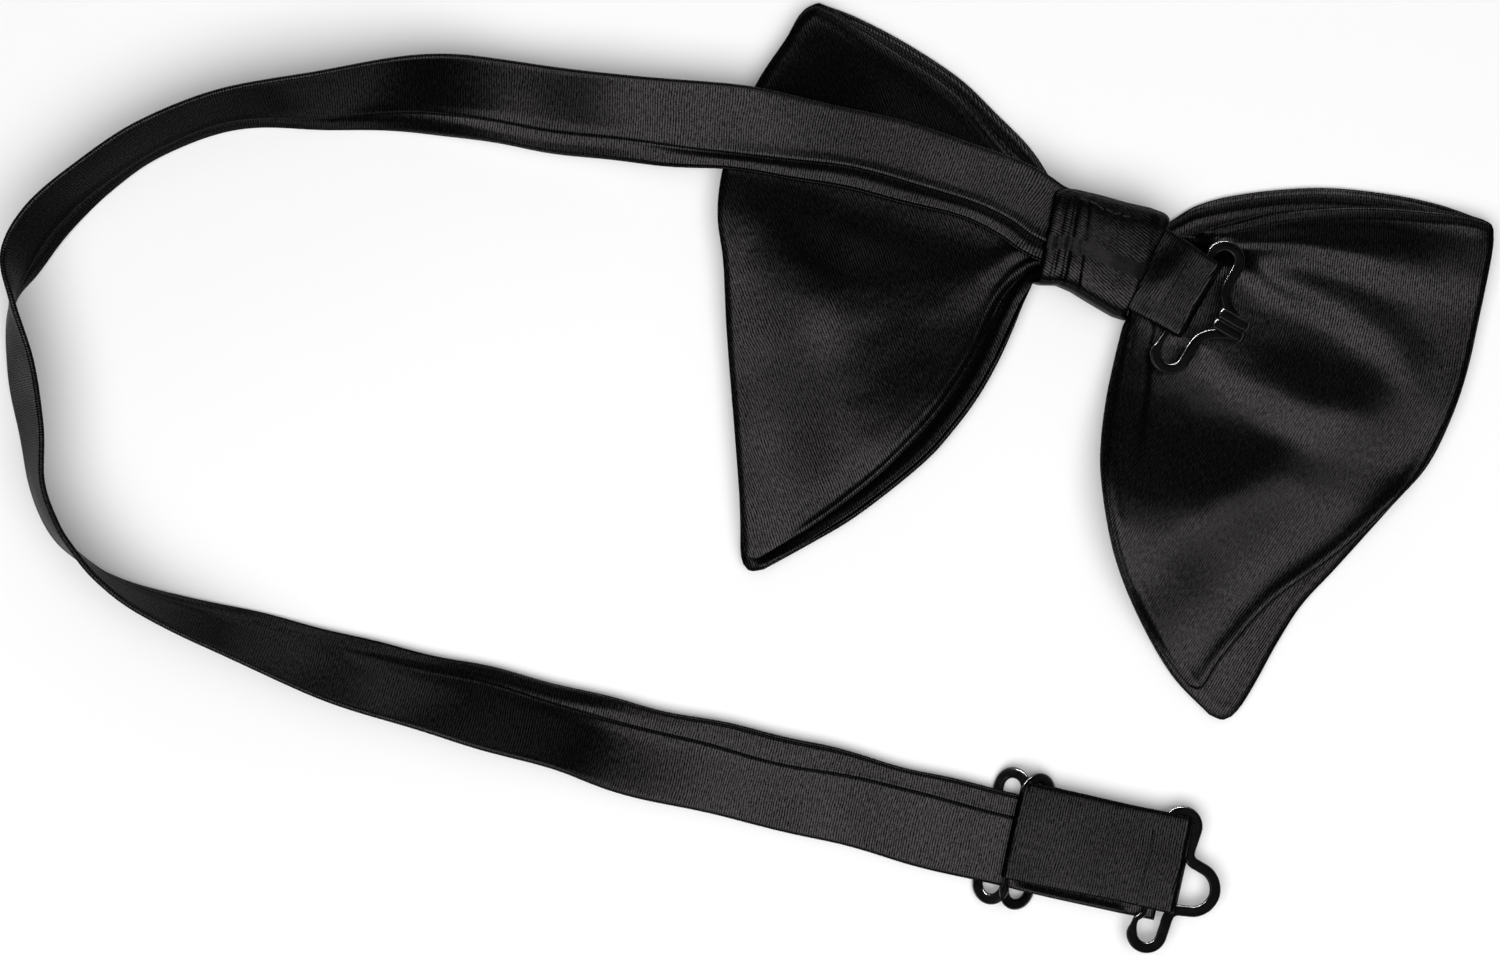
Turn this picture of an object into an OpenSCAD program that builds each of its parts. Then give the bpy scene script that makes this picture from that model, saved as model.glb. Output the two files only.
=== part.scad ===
// Oversized pre-tied bow tie, lying on its front, back of the knot up.
// Millimetres. Origin: centre of the knot's front face, on the resting plane.
// +X runs along the bow to the hook side, +Y to the bow's top edge, +Z out of its back.

/* [Bow] */
// Half width of the bow at its top corners
corner_x = 77; // [70:1:82]
// Height of the top corners above the knot centre
corner_y = 31.5; // [28:0.5:34]
// Distance of the lower tips from the centre line
tip_x = 50; // [46:1:54]
// Drop of the lower tips below the knot centre
tip_drop = 86; // [80:1:90]
// Thickness of one satin ply
ply_t = 0.5; // [0.4:0.1:0.6]
// Thickness of one interlining
lining_t = 0.7; // [0.5:0.1:0.8]
// Depth of the pleats where the wings leave the knot
pleat_depth = 0.9; // [0.4:0.1:0.9]
// Air between the front and the rear leaf in mid wing
wing_puff = 1.5; // [0.5:0.1:1.8]

/* [Knot] */
// Width of the knot along the bow
knot_w = 22; // [20:0.5:22]
// Height of the knot across the bow
knot_h = 24; // [24:0.5:26]
// Depth of the wrap from front to back, without its lapped end
knot_d = 12.8; // [12.6:0.1:13.4]
// Thickness of the knot's wrap
wrap_t = 1.3; // [1:0.1:1.3]

/* [Neck strap] */
// Width of the strap
strap_w = 20; // [18:0.5:20]
// Thickness of the strap
strap_t = 1.2; // [1:0.1:1.2]
// Thickness of the strap's satin cover
cover_t = 0.35; // [0.3:0.01:0.36]
// Distance of the lapped seam from the strap's middle
seam_offset = 5; // [4:0.5:7]
// Length of the tab that carries the hook
tab_len = 11.5; // [10.5:0.5:13]
// Width of the tab
tab_w = 18; // [16:0.5:18]

/* [Hardware] */
// Width of the flattened wire
wire_w = 2.4; // [2:0.1:2.5]
// Thickness of the flattened wire
wire_t = 1.2; // [1:0.05:1.2]
// Diameter of the round bars that the straps fold over
bar_d = 1.3; // [1.1:0.1:1.3]
// Length of the hook's bar between its end lobes
bar_len = 22.8; // [22.6:0.1:24]
// Radius of an end lobe, on the wire's centre line
lobe_r = 3.2; // [3.1:0.1:3.4]
// Overall length of the slider across the strap
slider_len = 29; // [28:0.5:32]

/* [Hidden] */
$fn = 48;

satin = "#1a1a1c";
canvas = "#d9d4c8";
thread = "#0c0c0e";
lacquer = "#08080a";

air = 0.1;                        // gap between neighbouring plies
leaf_gap = 0.4;                   // gap between the leaves at the rim
leaf_t = 2 * ply_t + lining_t + 2 * air;
root_x = 0.6;                     // leaf ends stop this far from the centre line
root_y = 7;                       // half height of the gathered waist
mouth_x = 12;                     // the leaves spread from this far out
rest_z = 0.15;                    // the leaves' rim lies this far above the resting plane
pleats = 2.5;                     // waves of the pleats across the waist
bite = 0.3;                       // joined solids run this far into each other
knot_x0 = -11.5;                  // left edge of the knot
knot_x1 = knot_x0 + knot_w;       // right edge of the knot
waist_z = 2.4;                    // underside of the gathered leaves
across = 8;                       // grid steps across a leaf
along = 11;                       // grid steps along a leaf

// ---------- curves and grids ----------

function bezier(p, t) =
    pow(1 - t, 3) * p[0] + 3 * t * pow(1 - t, 2) * p[1] + 3 * t * t * (1 - t) * p[2] + pow(t, 3) * p[3];
function mix(a, b, t) = a * (1 - t) + b * t;
function unit(v) = v / norm(v);

// Outlines of a right-hand leaf as edges: [top, bottom, outer], each four control points.
function leaf_edges(front) = front
    ? [[[mouth_x, 8.6], [22, 24], [46, corner_y], [corner_x, corner_y]],
       [[mouth_x, -8.6], [11, -36], [22, -68], [tip_x + 4, -tip_drop]],
       [[tip_x + 4, -tip_drop], [66, -45], [92, -8], [corner_x, corner_y]]]
    : [[[mouth_x, 8], [25, 18], [46, 28], [corner_x - 1, corner_y - 1]],
       [[mouth_x, -8.2], [13, -34], [21, -62], [tip_x, -tip_drop + 3]],
       [[tip_x, -tip_drop + 3], [60, -46], [89, -8], [corner_x - 1, corner_y - 1]]];

root_share = 0.12;                // share of a leaf's length that lies inside the knot
function outside(t) = max(0, (t - root_share) / (1 - root_share));
function leaf_edge(p, t, root) =
    t < root_share ? mix(root, p[0], t / root_share) : bezier(p, outside(t));

// Point of a leaf's outline plane: t from knot to outer edge, s from lower to top edge.
function leaf_xy(e, t, s) =
    let (low = leaf_edge(e[1], t, [root_x, -root_y]), high = leaf_edge(e[0], t, [root_x, root_y]),
         near = mix([root_x, -root_y], [root_x, root_y], s), far = bezier(e[2], s),
         flat = mix(mix([root_x, -root_y], e[1][3], t), mix([root_x, root_y], e[0][3], t), s))
    mix(low, high, s) + mix(near, far, t) - flat;

// Height of the leaf stack: it comes out of the knot raised and pleated, and lies down at the rim.
function leaf_base(t, s) =
    rest_z + pow(1 - outside(t), 2) * (waist_z + pleat_depth - rest_z + pleat_depth * sin(360 * pleats * s));
function leaf_lift(t, s, front) =
    front ? 0 : leaf_t + leaf_gap + wing_puff * sin(180 * outside(t)) * sin(180 * s);

function grid_faces(nu, nv) =
    let (row = nv + 1, layer = (nu + 1) * row)
    concat(
        [for (i = [0 : nu - 1], j = [0 : nv - 1], k = [0, 1]) let (a = i * row + j)
            k == 0 ? [a, a + 1, a + row + 1] : [a, a + row + 1, a + row]],
        [for (i = [0 : nu - 1], j = [0 : nv - 1], k = [0, 1]) let (a = layer + i * row + j)
            k == 0 ? [a, a + row + 1, a + 1] : [a, a + row, a + row + 1]],
        [for (i = [0 : nu - 1], k = [0, 1]) let (a = i * row, b = layer + a)
            k == 0 ? [a, a + row, b + row] : [a, b + row, b]],
        [for (i = [0 : nu - 1], k = [0, 1]) let (a = i * row + nv, b = layer + a)
            k == 0 ? [a, b + row, a + row] : [a, b, b + row]],
        [for (j = [0 : nv - 1], k = [0, 1]) let (a = j, b = layer + j)
            k == 0 ? [a, b + 1, a + 1] : [a, b, b + 1]],
        [for (j = [0 : nv - 1], k = [0, 1]) let (a = nu * row + j, b = layer + a)
            k == 0 ? [a, a + 1, b + 1] : [a, b + 1, b]]);

// One layer of a right-hand leaf, from level z0 above the stack's base, t0 thick,
// its rim drawn in by the given share of a grid step.
module leaf_layer(front, z0, t0, inset = 0) {
    e = leaf_edges(front);
    function crossing(i, j) =
        let (t = i / along, s = j / across, p = leaf_xy(e, t, s))
        [p[0], p[1], leaf_base(t, s) + leaf_lift(t, s, front) + z0];
    function cut(i, j) =
        j == 0 ? mix(crossing(i, 0), crossing(i, 1), inset)
        : j == across ? mix(crossing(i, across), crossing(i, across - 1), inset)
        : crossing(i, j);
    function place(i, j, up) =
        (i == along ? mix(cut(i, j), cut(i - 1, j), inset) : cut(i, j)) + [0, 0, up ? t0 : 0];
    polyhedron(
        points = [for (up = [false, true], i = [0 : along], j = [0 : across]) place(i, j, up)],
        faces = grid_faces(along, across));
}

module side(left) {
    if (left) mirror([1, 0, 0]) children();
    else children();
}

module leaf_back_ply(left, front) {
    color(satin) side(left) leaf_layer(front, ply_t + lining_t + 2 * air, ply_t);
}

module leaf_interlining(left, front) {
    color(canvas) side(left) leaf_layer(front, ply_t + air, lining_t, inset = 0.3);
}

module leaf_front_ply(left, front) {
    color(satin) side(left) leaf_layer(front, 0, ply_t);
}

// ---------- knot ----------

// Rounded rectangle, h along the first axis and from z0 to z1 along the second.
module rounded_box_2d(h, z0, z1, r) {
    translate([-h / 2 + r, z0]) square([h - 2 * r, z1 - z0]);
    translate([-h / 2, z0 + r]) square([h, z1 - z0 - 2 * r]);
    for (y = [-1, 1], z = [z0 + r, z1 - r]) translate([y * (h / 2 - r), z]) circle(r);
}

knot_corner_r = 4.2;              // rounding of the wrapped knot's long edges

// Closed band around the waist, x0 to x1 along the bow, t thick, inset from the knot's surface.
module waist_band(x0, x1, inset, t, z1) {
    r = knot_corner_r - inset;
    translate([x0, 0, 0]) rotate([90, 0, 90]) linear_extrude(x1 - x0) difference() {
        rounded_box_2d(knot_h - 2 * inset, inset, z1 - inset, r);
        rounded_box_2d(knot_h - 2 * (inset + t), inset + t, z1 - inset - t, r - t);
    }
}

lap_x0 = knot_x0 + 2;             // left edge of the wrap's lapped end
lap_t = 1.2;                      // height of the lapped end above the wrap
lap_inset = 3;                    // and its distance from the knot's long edges

module knot_wrap() {
    color(satin) {
        waist_band(knot_x0, knot_x1, 0, wrap_t, knot_d);
        translate([lap_x0, lap_inset - knot_h / 2, knot_d - bite])
            cube([knot_x1 - lap_x0, knot_h - 2 * lap_inset, lap_t + bite]);
    }
}

// Trough of interlining under the gathers, open towards the back.
knot_lining_t = 0.5;
knot_lining_top = 5.5;            // the trough's sides end at this height
module knot_interlining() {
    inset = wrap_t + air;
    r = knot_corner_r - inset;
    color(canvas) translate([knot_x0 + 2, 0, 0]) rotate([90, 0, 90]) linear_extrude(knot_w - 3)
        difference() {
            rounded_box_2d(knot_h - 2 * inset, inset, knot_d, r);
            rounded_box_2d(knot_h - 2 * (inset + knot_lining_t), inset + knot_lining_t, knot_d + 1,
                r - knot_lining_t);
            translate([-knot_h, knot_lining_top]) square([2 * knot_h, knot_d]);
        }
}

// Thread wound round the gathered leaves.
waist_turns = 3;
waist_pitch = 0.7;                // distance between the turns
thread_w = 0.5;
thread_t = 0.3;
waist_r = 1.4;                    // rounding of the turns
module waist_thread() {
    h = 2 * (root_y + waist_r + thread_t);
    z0 = waist_z - thread_t - air;
    z1 = waist_z + 2 * leaf_t + leaf_gap + 2 * pleat_depth + thread_t + air / 2;
    color(thread) for (i = [0 : waist_turns - 1])
        translate([(i - (waist_turns - 1) / 2) * waist_pitch - thread_w / 2, 0, 0])
            rotate([90, 0, 90]) linear_extrude(thread_w) difference() {
                rounded_box_2d(h, z0, z1, waist_r);
                rounded_box_2d(h - 2 * thread_t, z0 + thread_t, z1 - thread_t, waist_r - thread_t);
            }
}

// Short stitches that hold the wrap's lapped end.
stitch_r = 0.25;
module stitch(len) {
    rotate([0, 90, 0]) cylinder(r = stitch_r, h = len, center = true, $fn = 16);
}

knot_stitch_x = lap_x0 + 4.5;     // first stitch
knot_stitch_step = 2.1;
knot_stitch_y = 8.2;
module knot_stitches() {
    color(thread) for (i = [0 : 4])
        translate([knot_stitch_x + knot_stitch_step * i, knot_stitch_y, knot_d + lap_t + stitch_r])
            rotate([0, 0, 25]) stitch(1.5);
}

// ---------- neck strap ----------

end_angle = 5.5;                  // direction of the strap's straight end
end_x = 21.7;                     // slider's middle bar at rest
end_y = -124.2;
end_back = 74;                    // straight run before the slider
fold_run = 33.2;                  // slider's middle bar to the middle of the strap's end fold
strap_z = 2.6;                    // strap's middle above the resting plane on the straight run
bar_play = 0.15;                  // room round a bar inside its fold
fold_ri = bar_d / 2 + bar_play;   // inner radius of a fold over a bar
fold_ro = fold_ri + strap_t;
eye_z = strap_z - strap_t / 2 + fold_ro;

end_dir = [cos(end_angle), sin(end_angle), 0];
function on_end(x) = [end_x, end_y, strap_z] + end_dir * x;

// Stations of the strap from the knot round to its straight end:
// [x, y, z of the strap's middle, tilt]. Tilt 0 lies flat, 90 stands on the inner edge.
ROUTE = [
    [-13.2, 2.1, 10.2, 0], [-30, 4, 10.5, 0], [-48, 4.5, 10.4, 1], [-70, 2, 9.8, 5], [-90, -1, 8.8, 10],
    [-111, -5.4, 7.4, 22], [-131, -8.9, 6.3, 25], [-149, -13.3, 7.3, 41], [-168, -20.8, 9.3, 60],
    [-186, -28.9, 9.9, 70], [-199, -39.6, 10.1, 73], [-208, -50.7, 10.1, 73], [-214.7, -62.7, 10, 69],
    [-217.4, -73, 10.3, 75], [-216.4, -82, 10.7, 98], [-210.6, -94, 10.1, 113], [-204.3, -106, 10, 111],
    [-199.3, -117, 10.2, 106], [-193, -124.5, 10.3, 104], [-186.5, -128.5, 10.4, 99], [-179, -131.5, 10.5, 90],
    [-169, -133.2, 10.3, 78], [-152, -133.7, 9.7, 65], [-132, -133.8, 8.6, 51], [-101, -133.2, 6.9, 37],
    [-78, -132.2, 5.3, 26], [-61, -131.5, 3.6, 10]
];
route_steps = 4;

function station(i) =
    i < 0 ? 2 * ROUTE[0] - ROUTE[1]
    : i < len(ROUTE) ? ROUTE[i]
    : let (p = on_end(-end_back + 20 * (i - len(ROUTE)))) [p[0], p[1], p[2], 0];
function catmull(a, b, c, d, t) =
    0.5 * (2 * b + (c - a) * t + (2 * a - 5 * b + 4 * c - d) * t * t + (3 * b - a - 3 * c + d) * t * t * t);
STRAP = concat(
    [for (i = [0 : len(ROUTE) - 1], k = [0 : route_steps - 1])
        catmull(station(i - 1), station(i), station(i + 1), station(i + 2), k / route_steps)],
    [for (x = [-end_back, -end_back + 6, -20, 10, fold_run]) let (p = on_end(x)) [p[0], p[1], p[2], 0]]);

function xyz(p) = [p[0], p[1], p[2]];
function strap_dir(i) = unit(xyz(STRAP[min(i + 1, len(STRAP) - 1)]) - xyz(STRAP[max(i - 1, 0)]));

// Frame across the strap at ring i: [middle, towards the outer edge, out of the seam face].
function strap_frame(i) =
    let (d = strap_dir(i), tilt = STRAP[i][3],
         out = unit([d[1], -d[0], 0]) * cos(tilt) + [0, 0, sin(tilt)],
         w = unit(out - d * (out * d)))
    [xyz(STRAP[i]), w, cross(w, d)];

// Sweeps a closed outline [across, out of the face] along the strap. Every wall is split along the
// same diagonal, whichever way the outline runs, so that the twisted faces stay parallel.
module along_strap(outline, first, last) {
    n = len(outline);
    rings = last - first + 1;
    points = [for (i = [first : last]) let (f = strap_frame(i))
        for (p = outline) f[0] + f[1] * p[0] + f[2] * p[1]];
    walls = [for (i = [0 : rings - 2], j = [0 : n - 1], k = [0, 1])
        let (a = i * n + j, b = i * n + (j + 1) % n, up = outline[(j + 1) % n][0] >= outline[j][0])
        up ? (k == 0 ? [a, b + n, b] : [a, a + n, b + n]) : (k == 0 ? [a, a + n, b] : [b, a + n, b + n])];
    polyhedron(points, concat(walls, [[for (j = [0 : n - 1]) j]],
        [[for (j = [n - 1 : -1 : 0]) (rings - 1) * n + j]]));
}

// Satin strip turned round the interlining, its two edges lapped at the seam.
module neck_strap_cover() {
    w = strap_w / 2;
    t = strap_t / 2;
    wi = w - cover_t;
    ti = t - cover_t;
    s = seam_offset;
    slit = 0.1;
    color(satin) along_strap([
        [slit - s, t], [s, t], [w, t], [w, -t], [s, -t], [-s, -t], [-w, -t], [-w, t], [-s - slit, t],
        [-s - slit, ti], [-wi, ti], [-wi, -ti], [-s, -ti], [s, -ti], [wi, -ti], [wi, ti], [s, ti], [slit - s, ti]],
        0, len(STRAP) - 1);
}

module neck_strap_interlining() {
    w = strap_w / 2 - cover_t - 0.2;
    t = strap_t / 2 - cover_t - 0.1;
    s = seam_offset;
    color(canvas) along_strap([[-s, t], [s, t], [w, t], [w, -t], [s, -t], [-s, -t], [-w, -t], [-w, t]],
        0, len(STRAP) - 2);
}

// Frame of the strap's straight end: x along it from the slider's middle bar, z from the resting plane.
module at_end() {
    translate([end_x, end_y, 0]) rotate([0, 0, end_angle]) children();
}

// Half of a tube along y, on the side of +x.
module half_fold(ri, ro, w) {
    rotate([90, 0, 0]) rotate([0, 0, -90]) translate([0, 0, -w / 2])
        rotate_extrude(angle = 180) translate([ri, 0]) square([ro - ri, w]);
}

slider_wrap_t = 0.65;             // thickness of the fold over the slider's middle bar
mid_bar_r = 0.6;
slider_play = 0.05;               // room round the middle bar
under_slider = 0.25;              // air between the slider's fold and the strap below it
mid_z = strap_z + strap_t / 2 + under_slider + slider_wrap_t + mid_bar_r;
wrap_ro = mid_bar_r + slider_play + slider_wrap_t;

// End of the strap: loosely round the eye's bar and back on top to the slider.
module strap_return() {
    color(satin) at_end() {
        translate([fold_run, 0, eye_z]) half_fold(fold_ri, fold_ro, strap_w);
        translate([wrap_ro + bar_play, -strap_w / 2, eye_z + fold_ri])
            cube([fold_run - wrap_ro - bar_play, strap_w, strap_t]);
    }
}

module strap_return_stitches() {
    color(thread) at_end() for (y = [-8 : 2 : 8])
        translate([fold_run - 4.5, y, eye_z + fold_ro + stitch_r]) rotate([0, 0, 90]) stitch(1.4);
}

module slider_fold() {
    color(satin) at_end() translate([0, 0, mid_z]) {
        difference() {
            rotate([90, 0, 0]) cylinder(r = wrap_ro, h = strap_w - 0.4, center = true);
            rotate([90, 0, 0]) cylinder(r = mid_bar_r + slider_play, h = strap_w, center = true);
            translate([0, -strap_w / 2, -0.35]) cube([wrap_ro + 1, strap_w, 0.7]);
        }
        translate([0.9, -strap_w / 2 + 0.2, -wrap_ro]) cube([6.6, strap_w - 0.4, slider_wrap_t]);
    }
}

module slider_fold_stitches() {
    color(thread) at_end() for (y = [-7.5 : 2.5 : 7.5])
        translate([3.4, y, mid_z - wrap_ro + slider_wrap_t + stitch_r]) rotate([0, 0, 90]) stitch(1.6);
}

// ---------- hardware of flattened wire ----------

// Flattened wire bent in its own plane, as outlines.
module wire_arc_2d(r, a0, a1) {
    reach = 2 * (r + wire_w);
    intersection() {
        difference() {
            circle(r + wire_w / 2);
            circle(r - wire_w / 2);
        }
        polygon([[0, 0], for (k = [0 : 4]) reach * [cos(mix(a0, a1, k / 4)), sin(mix(a0, a1, k / 4))]]);
    }
}

// Lobe at each end of the bar, turning back beside it to y = inner_y.
module lobes_2d(len, inner_y) {
    for (k = [0, 1]) mirror([0, k]) {
        translate([lobe_r, len / 2]) wire_arc_2d(lobe_r, 0, 180);
        translate([2 * lobe_r - wire_w / 2, inner_y]) square([wire_w, len / 2 - inner_y + 0.01]);
    }
}

module bar(len) {
    rotate([90, 0, 0]) cylinder(d = bar_d, h = len + 0.4, center = true);
}

eye_ring_r = 4.9;                 // eye's ring, on the wire's centre line
eye_ring_x = 8.2;
eye_bar_len = bar_len + 1.2;     // leaves room beside the strap when the eye lies shifted
eye_run = 31.2;                   // slider's middle bar to the eye's bar, which lies inside the fold
eye_shift = -1.6;                 // the eye lies this far along its bar
eye_turn = -5;                    // and turned in the fold
module eye_wire() {
    a = acos((2 * lobe_r - eye_ring_x) / eye_ring_r);
    bar(eye_bar_len);
    linear_extrude(wire_t, center = true) {
        lobes_2d(eye_bar_len, eye_ring_r * sin(a) - 0.6);
        translate([eye_ring_x, 0]) wire_arc_2d(eye_ring_r, -a, a);
    }
}

module eye() {
    color(lacquer) at_end() translate([eye_run, eye_shift, eye_z]) rotate([0, 0, eye_turn]) eye_wire();
}

hook_reach = 13;                  // bar to the middle of the hook's bend
hook_mouth_r = 1.35;              // radius of the hook's bend, on the wire's centre line
hook_back = 5.5;                  // length of the part bent back
pinch_gap = 0.05;                 // half the gap between the hook's two wires

// Side view of the hook's tongue: out, round the bend and back.
module tongue_2d() {
    translate([2 * lobe_r, -wire_t / 2]) square([hook_reach - 2 * lobe_r, wire_t]);
    translate([hook_reach - hook_back, 2 * hook_mouth_r - wire_t / 2]) square([hook_back, wire_t]);
    translate([hook_reach, hook_mouth_r]) intersection() {
        difference() {
            circle(hook_mouth_r + wire_t / 2);
            circle(hook_mouth_r - wire_t / 2);
        }
        translate([0, -5]) square([5, 10]);
    }
}

module hook_wire() {
    bar(bar_len);
    linear_extrude(wire_t, center = true) lobes_2d(bar_len, pinch_gap);
    for (k = [0, 1]) mirror([0, k, 0]) translate([0, wire_w + pinch_gap, 0])
        rotate([90, 0, 0]) linear_extrude(wire_w) tongue_2d();
}

// Figure of eight: two ovals that share a raised middle bar, sloping down to bars under the strap.
low_z = 1.3;                      // middle of the slider's outer bars
outer_x = 5.6;                    // outer bars beside the middle bar
slope = atan((mid_z - low_z) / outer_x);
oval = norm([outer_x, mid_z - low_z]);
module slider() {
    straight = slider_len / 2 - wire_w / 2 - oval / 2;
    color(lacquer) at_end() translate([0, 0, mid_z]) {
        rotate([90, 0, 0]) cylinder(r = mid_bar_r, h = 2 * straight + 0.6, center = true);
        for (h = [0, 1]) mirror([h, 0, 0]) {
            translate([outer_x, 0, low_z - mid_z]) cube([wire_w, 2 * straight, wire_t - 0.1], center = true);
            rotate([0, slope, 0]) for (k = [0, 1]) mirror([0, k, 0])
                translate([oval / 2, straight - 0.02, 0]) linear_extrude(wire_t, center = true)
                    wire_arc_2d(oval / 2, 0, 180);
        }
    }
}

// ---------- hook and its tab ----------

tab_angle = -12;
tab_x = knot_x1 + 0.4;
tab_y = -0.9;
tab_z = 10.35;                    // hook's bar above the resting plane
module at_tab() {
    translate([tab_x, tab_y, tab_z]) rotate([0, 0, tab_angle]) children();
}

tab_t = 1.05;                     // thickness of one layer of the tab
tab_ro = fold_ri + tab_t;
hook_shift = -1.5;                // the hook lies this far along its bar

// Two layers from the knot and a fold over the hook's bar.
module tab_strap() {
    bar_x = tab_len - tab_ro;
    meet = 4;                     // where the two layers close up
    color(satin) at_tab() difference() {
        union() {
            translate([bar_x, 0, 0]) half_fold(fold_ri, tab_ro, tab_w);
            for (k = [0, 1]) mirror([0, 0, k]) {
                translate([meet, -tab_w / 2, fold_ri]) cube([bar_x - meet, tab_w, tab_t]);
                translate([0, tab_w / 2, 0]) rotate([90, 0, 0]) linear_extrude(tab_w)
                    polygon([[1.6, 0.02], [meet, fold_ri], [meet, tab_ro], [1.6, 1.1]]);
            }
            translate([-2, -tab_w / 2, -1.1]) cube([3.7, tab_w, 2.2]);
        }
        translate([-5, 0, 0]) rotate([0, 0, -tab_angle])
            translate([-5, -20, -5]) cube([5 + 5 * cos(tab_angle), 40, 10]);
    }
}

module tab_stitches() {
    color(thread) at_tab() for (y = [-7 : 2 : 7])
        translate([6.2, y, tab_ro + stitch_r]) rotate([0, 0, 90]) stitch(1.3);
}

module hook() {
    color(lacquer) at_tab() translate([tab_len - tab_ro, hook_shift, 0]) hook_wire();
}

leaf_back_ply(true, false);  // left_rear_leaf_back_ply
leaf_interlining(true, false);  // left_rear_leaf_interlining
leaf_front_ply(true, false);  // left_rear_leaf_front_ply
leaf_back_ply(true, true);  // left_front_leaf_back_ply
leaf_interlining(true, true);  // left_front_leaf_interlining
leaf_front_ply(true, true);  // left_front_leaf_front_ply
leaf_back_ply(false, false);  // right_rear_leaf_back_ply
leaf_interlining(false, false);  // right_rear_leaf_interlining
leaf_front_ply(false, false);  // right_rear_leaf_front_ply
leaf_back_ply(false, true);  // right_front_leaf_back_ply
leaf_interlining(false, true);  // right_front_leaf_interlining
leaf_front_ply(false, true);  // right_front_leaf_front_ply
knot_wrap();
knot_interlining();
waist_thread();
knot_stitches();
neck_strap_cover();
neck_strap_interlining();
strap_return();
strap_return_stitches();
slider();
slider_fold();
slider_fold_stitches();
eye();
tab_strap();
tab_stitches();
hook();
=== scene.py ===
"""Looks of an oversized pre-tied bow tie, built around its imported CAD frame.

All shapes are worked out in millimetres, in the part's own frame, and scaled by MM when a mesh is made.
The bow lies on its front: +X runs to the hook side, +Y to the bow's top edge, +Z out of the back.
"""

import math

import bpy
import numpy as np
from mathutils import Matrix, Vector


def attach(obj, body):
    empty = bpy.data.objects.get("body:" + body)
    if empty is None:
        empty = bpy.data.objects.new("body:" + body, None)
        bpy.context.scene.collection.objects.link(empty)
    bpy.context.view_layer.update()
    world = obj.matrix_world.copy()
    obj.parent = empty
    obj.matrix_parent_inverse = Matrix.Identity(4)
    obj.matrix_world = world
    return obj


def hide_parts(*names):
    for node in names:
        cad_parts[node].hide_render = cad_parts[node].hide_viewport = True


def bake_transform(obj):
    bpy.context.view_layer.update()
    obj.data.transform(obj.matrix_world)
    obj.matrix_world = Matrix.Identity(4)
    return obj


MM = 0.001
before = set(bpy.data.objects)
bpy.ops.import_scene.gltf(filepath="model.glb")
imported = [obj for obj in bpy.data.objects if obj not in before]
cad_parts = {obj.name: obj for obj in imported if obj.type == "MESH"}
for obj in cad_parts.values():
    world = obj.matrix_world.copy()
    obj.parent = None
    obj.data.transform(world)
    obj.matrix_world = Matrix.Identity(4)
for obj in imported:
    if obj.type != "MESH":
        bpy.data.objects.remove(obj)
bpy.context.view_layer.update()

# ---------------------------------------------------------------- small maths


def unit(v):
    v = np.asarray(v, float)
    return v / np.maximum(np.linalg.norm(v, axis=-1, keepdims=True), 1e-12)


def smooth(low, high, x):
    """0 below low, 1 above high, and a smooth step between."""
    t = np.clip((np.asarray(x, float) - low) / (high - low), 0, 1)
    return t * t * (3 - 2 * t)


def catmull(points, per_span=12, closed=False):
    """Curve through the points, as a dense polyline."""
    p = np.asarray(points, float)
    if closed:
        p = np.vstack([p[-1], p, p[0], p[1]])
    else:
        p = np.vstack([2 * p[0] - p[1], p, 2 * p[-1] - p[-2]])
    t = np.linspace(0, 1, per_span, endpoint=False)[:, None]
    out = []
    for a, b, c, d in zip(p[:-3], p[1:-2], p[2:-1], p[3:]):
        out.append(0.5 * (2 * b + (c - a) * t + (2 * a - 5 * b + 4 * c - d) * t**2
                          + (3 * b - a - 3 * c + d) * t**3))
    out = np.vstack(out)
    return out if closed else np.vstack([out, p[-2]])


def at_shares(line, shares):
    """Points of a polyline at the given shares of its length."""
    step = np.r_[0, np.cumsum(np.linalg.norm(np.diff(line[:, :3], axis=0), axis=1))]
    where = np.asarray(shares, float) * step[-1]
    return np.stack([np.interp(where, step, line[:, k]) for k in range(line.shape[1])], -1)


def length_of(line):
    return float(np.linalg.norm(np.diff(line, axis=0), axis=1).sum())


def to_polyline(xy, line):
    """Distance of each point from a polyline, and the share of the line where it is nearest."""
    best = np.full(xy.shape[:-1], 1e9)
    share = np.zeros_like(best)
    seg = np.linalg.norm(np.diff(line, axis=0), axis=1)
    start = np.r_[0, np.cumsum(seg)]
    for k in range(len(seg)):
        a, d = line[k], line[k + 1] - line[k]
        t = np.clip(((xy - a) @ d) / max(seg[k] ** 2, 1e-12), 0, 1)
        dist = np.linalg.norm(xy - a - t[..., None] * d, axis=-1)
        near = dist < best
        best = np.where(near, dist, best)
        share = np.where(near, (start[k] + t * seg[k]) / start[-1], share)
    return best, share


def waves(x, y, seed, scale):
    """Smooth unevenness from -1 to 1: a few sine waves in fixed, seeded directions."""
    rng = np.random.default_rng(seed)
    total = 0
    for k in range(5):
        angle, phase = rng.uniform(0, 2 * math.pi, 2)
        size = scale * rng.uniform(0.6, 1.5)
        total = total + np.sin((x * math.cos(angle) + y * math.sin(angle)) * 2 * math.pi / size + phase)
    return total / 5


# ---------------------------------------------------------------- meshes


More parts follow.
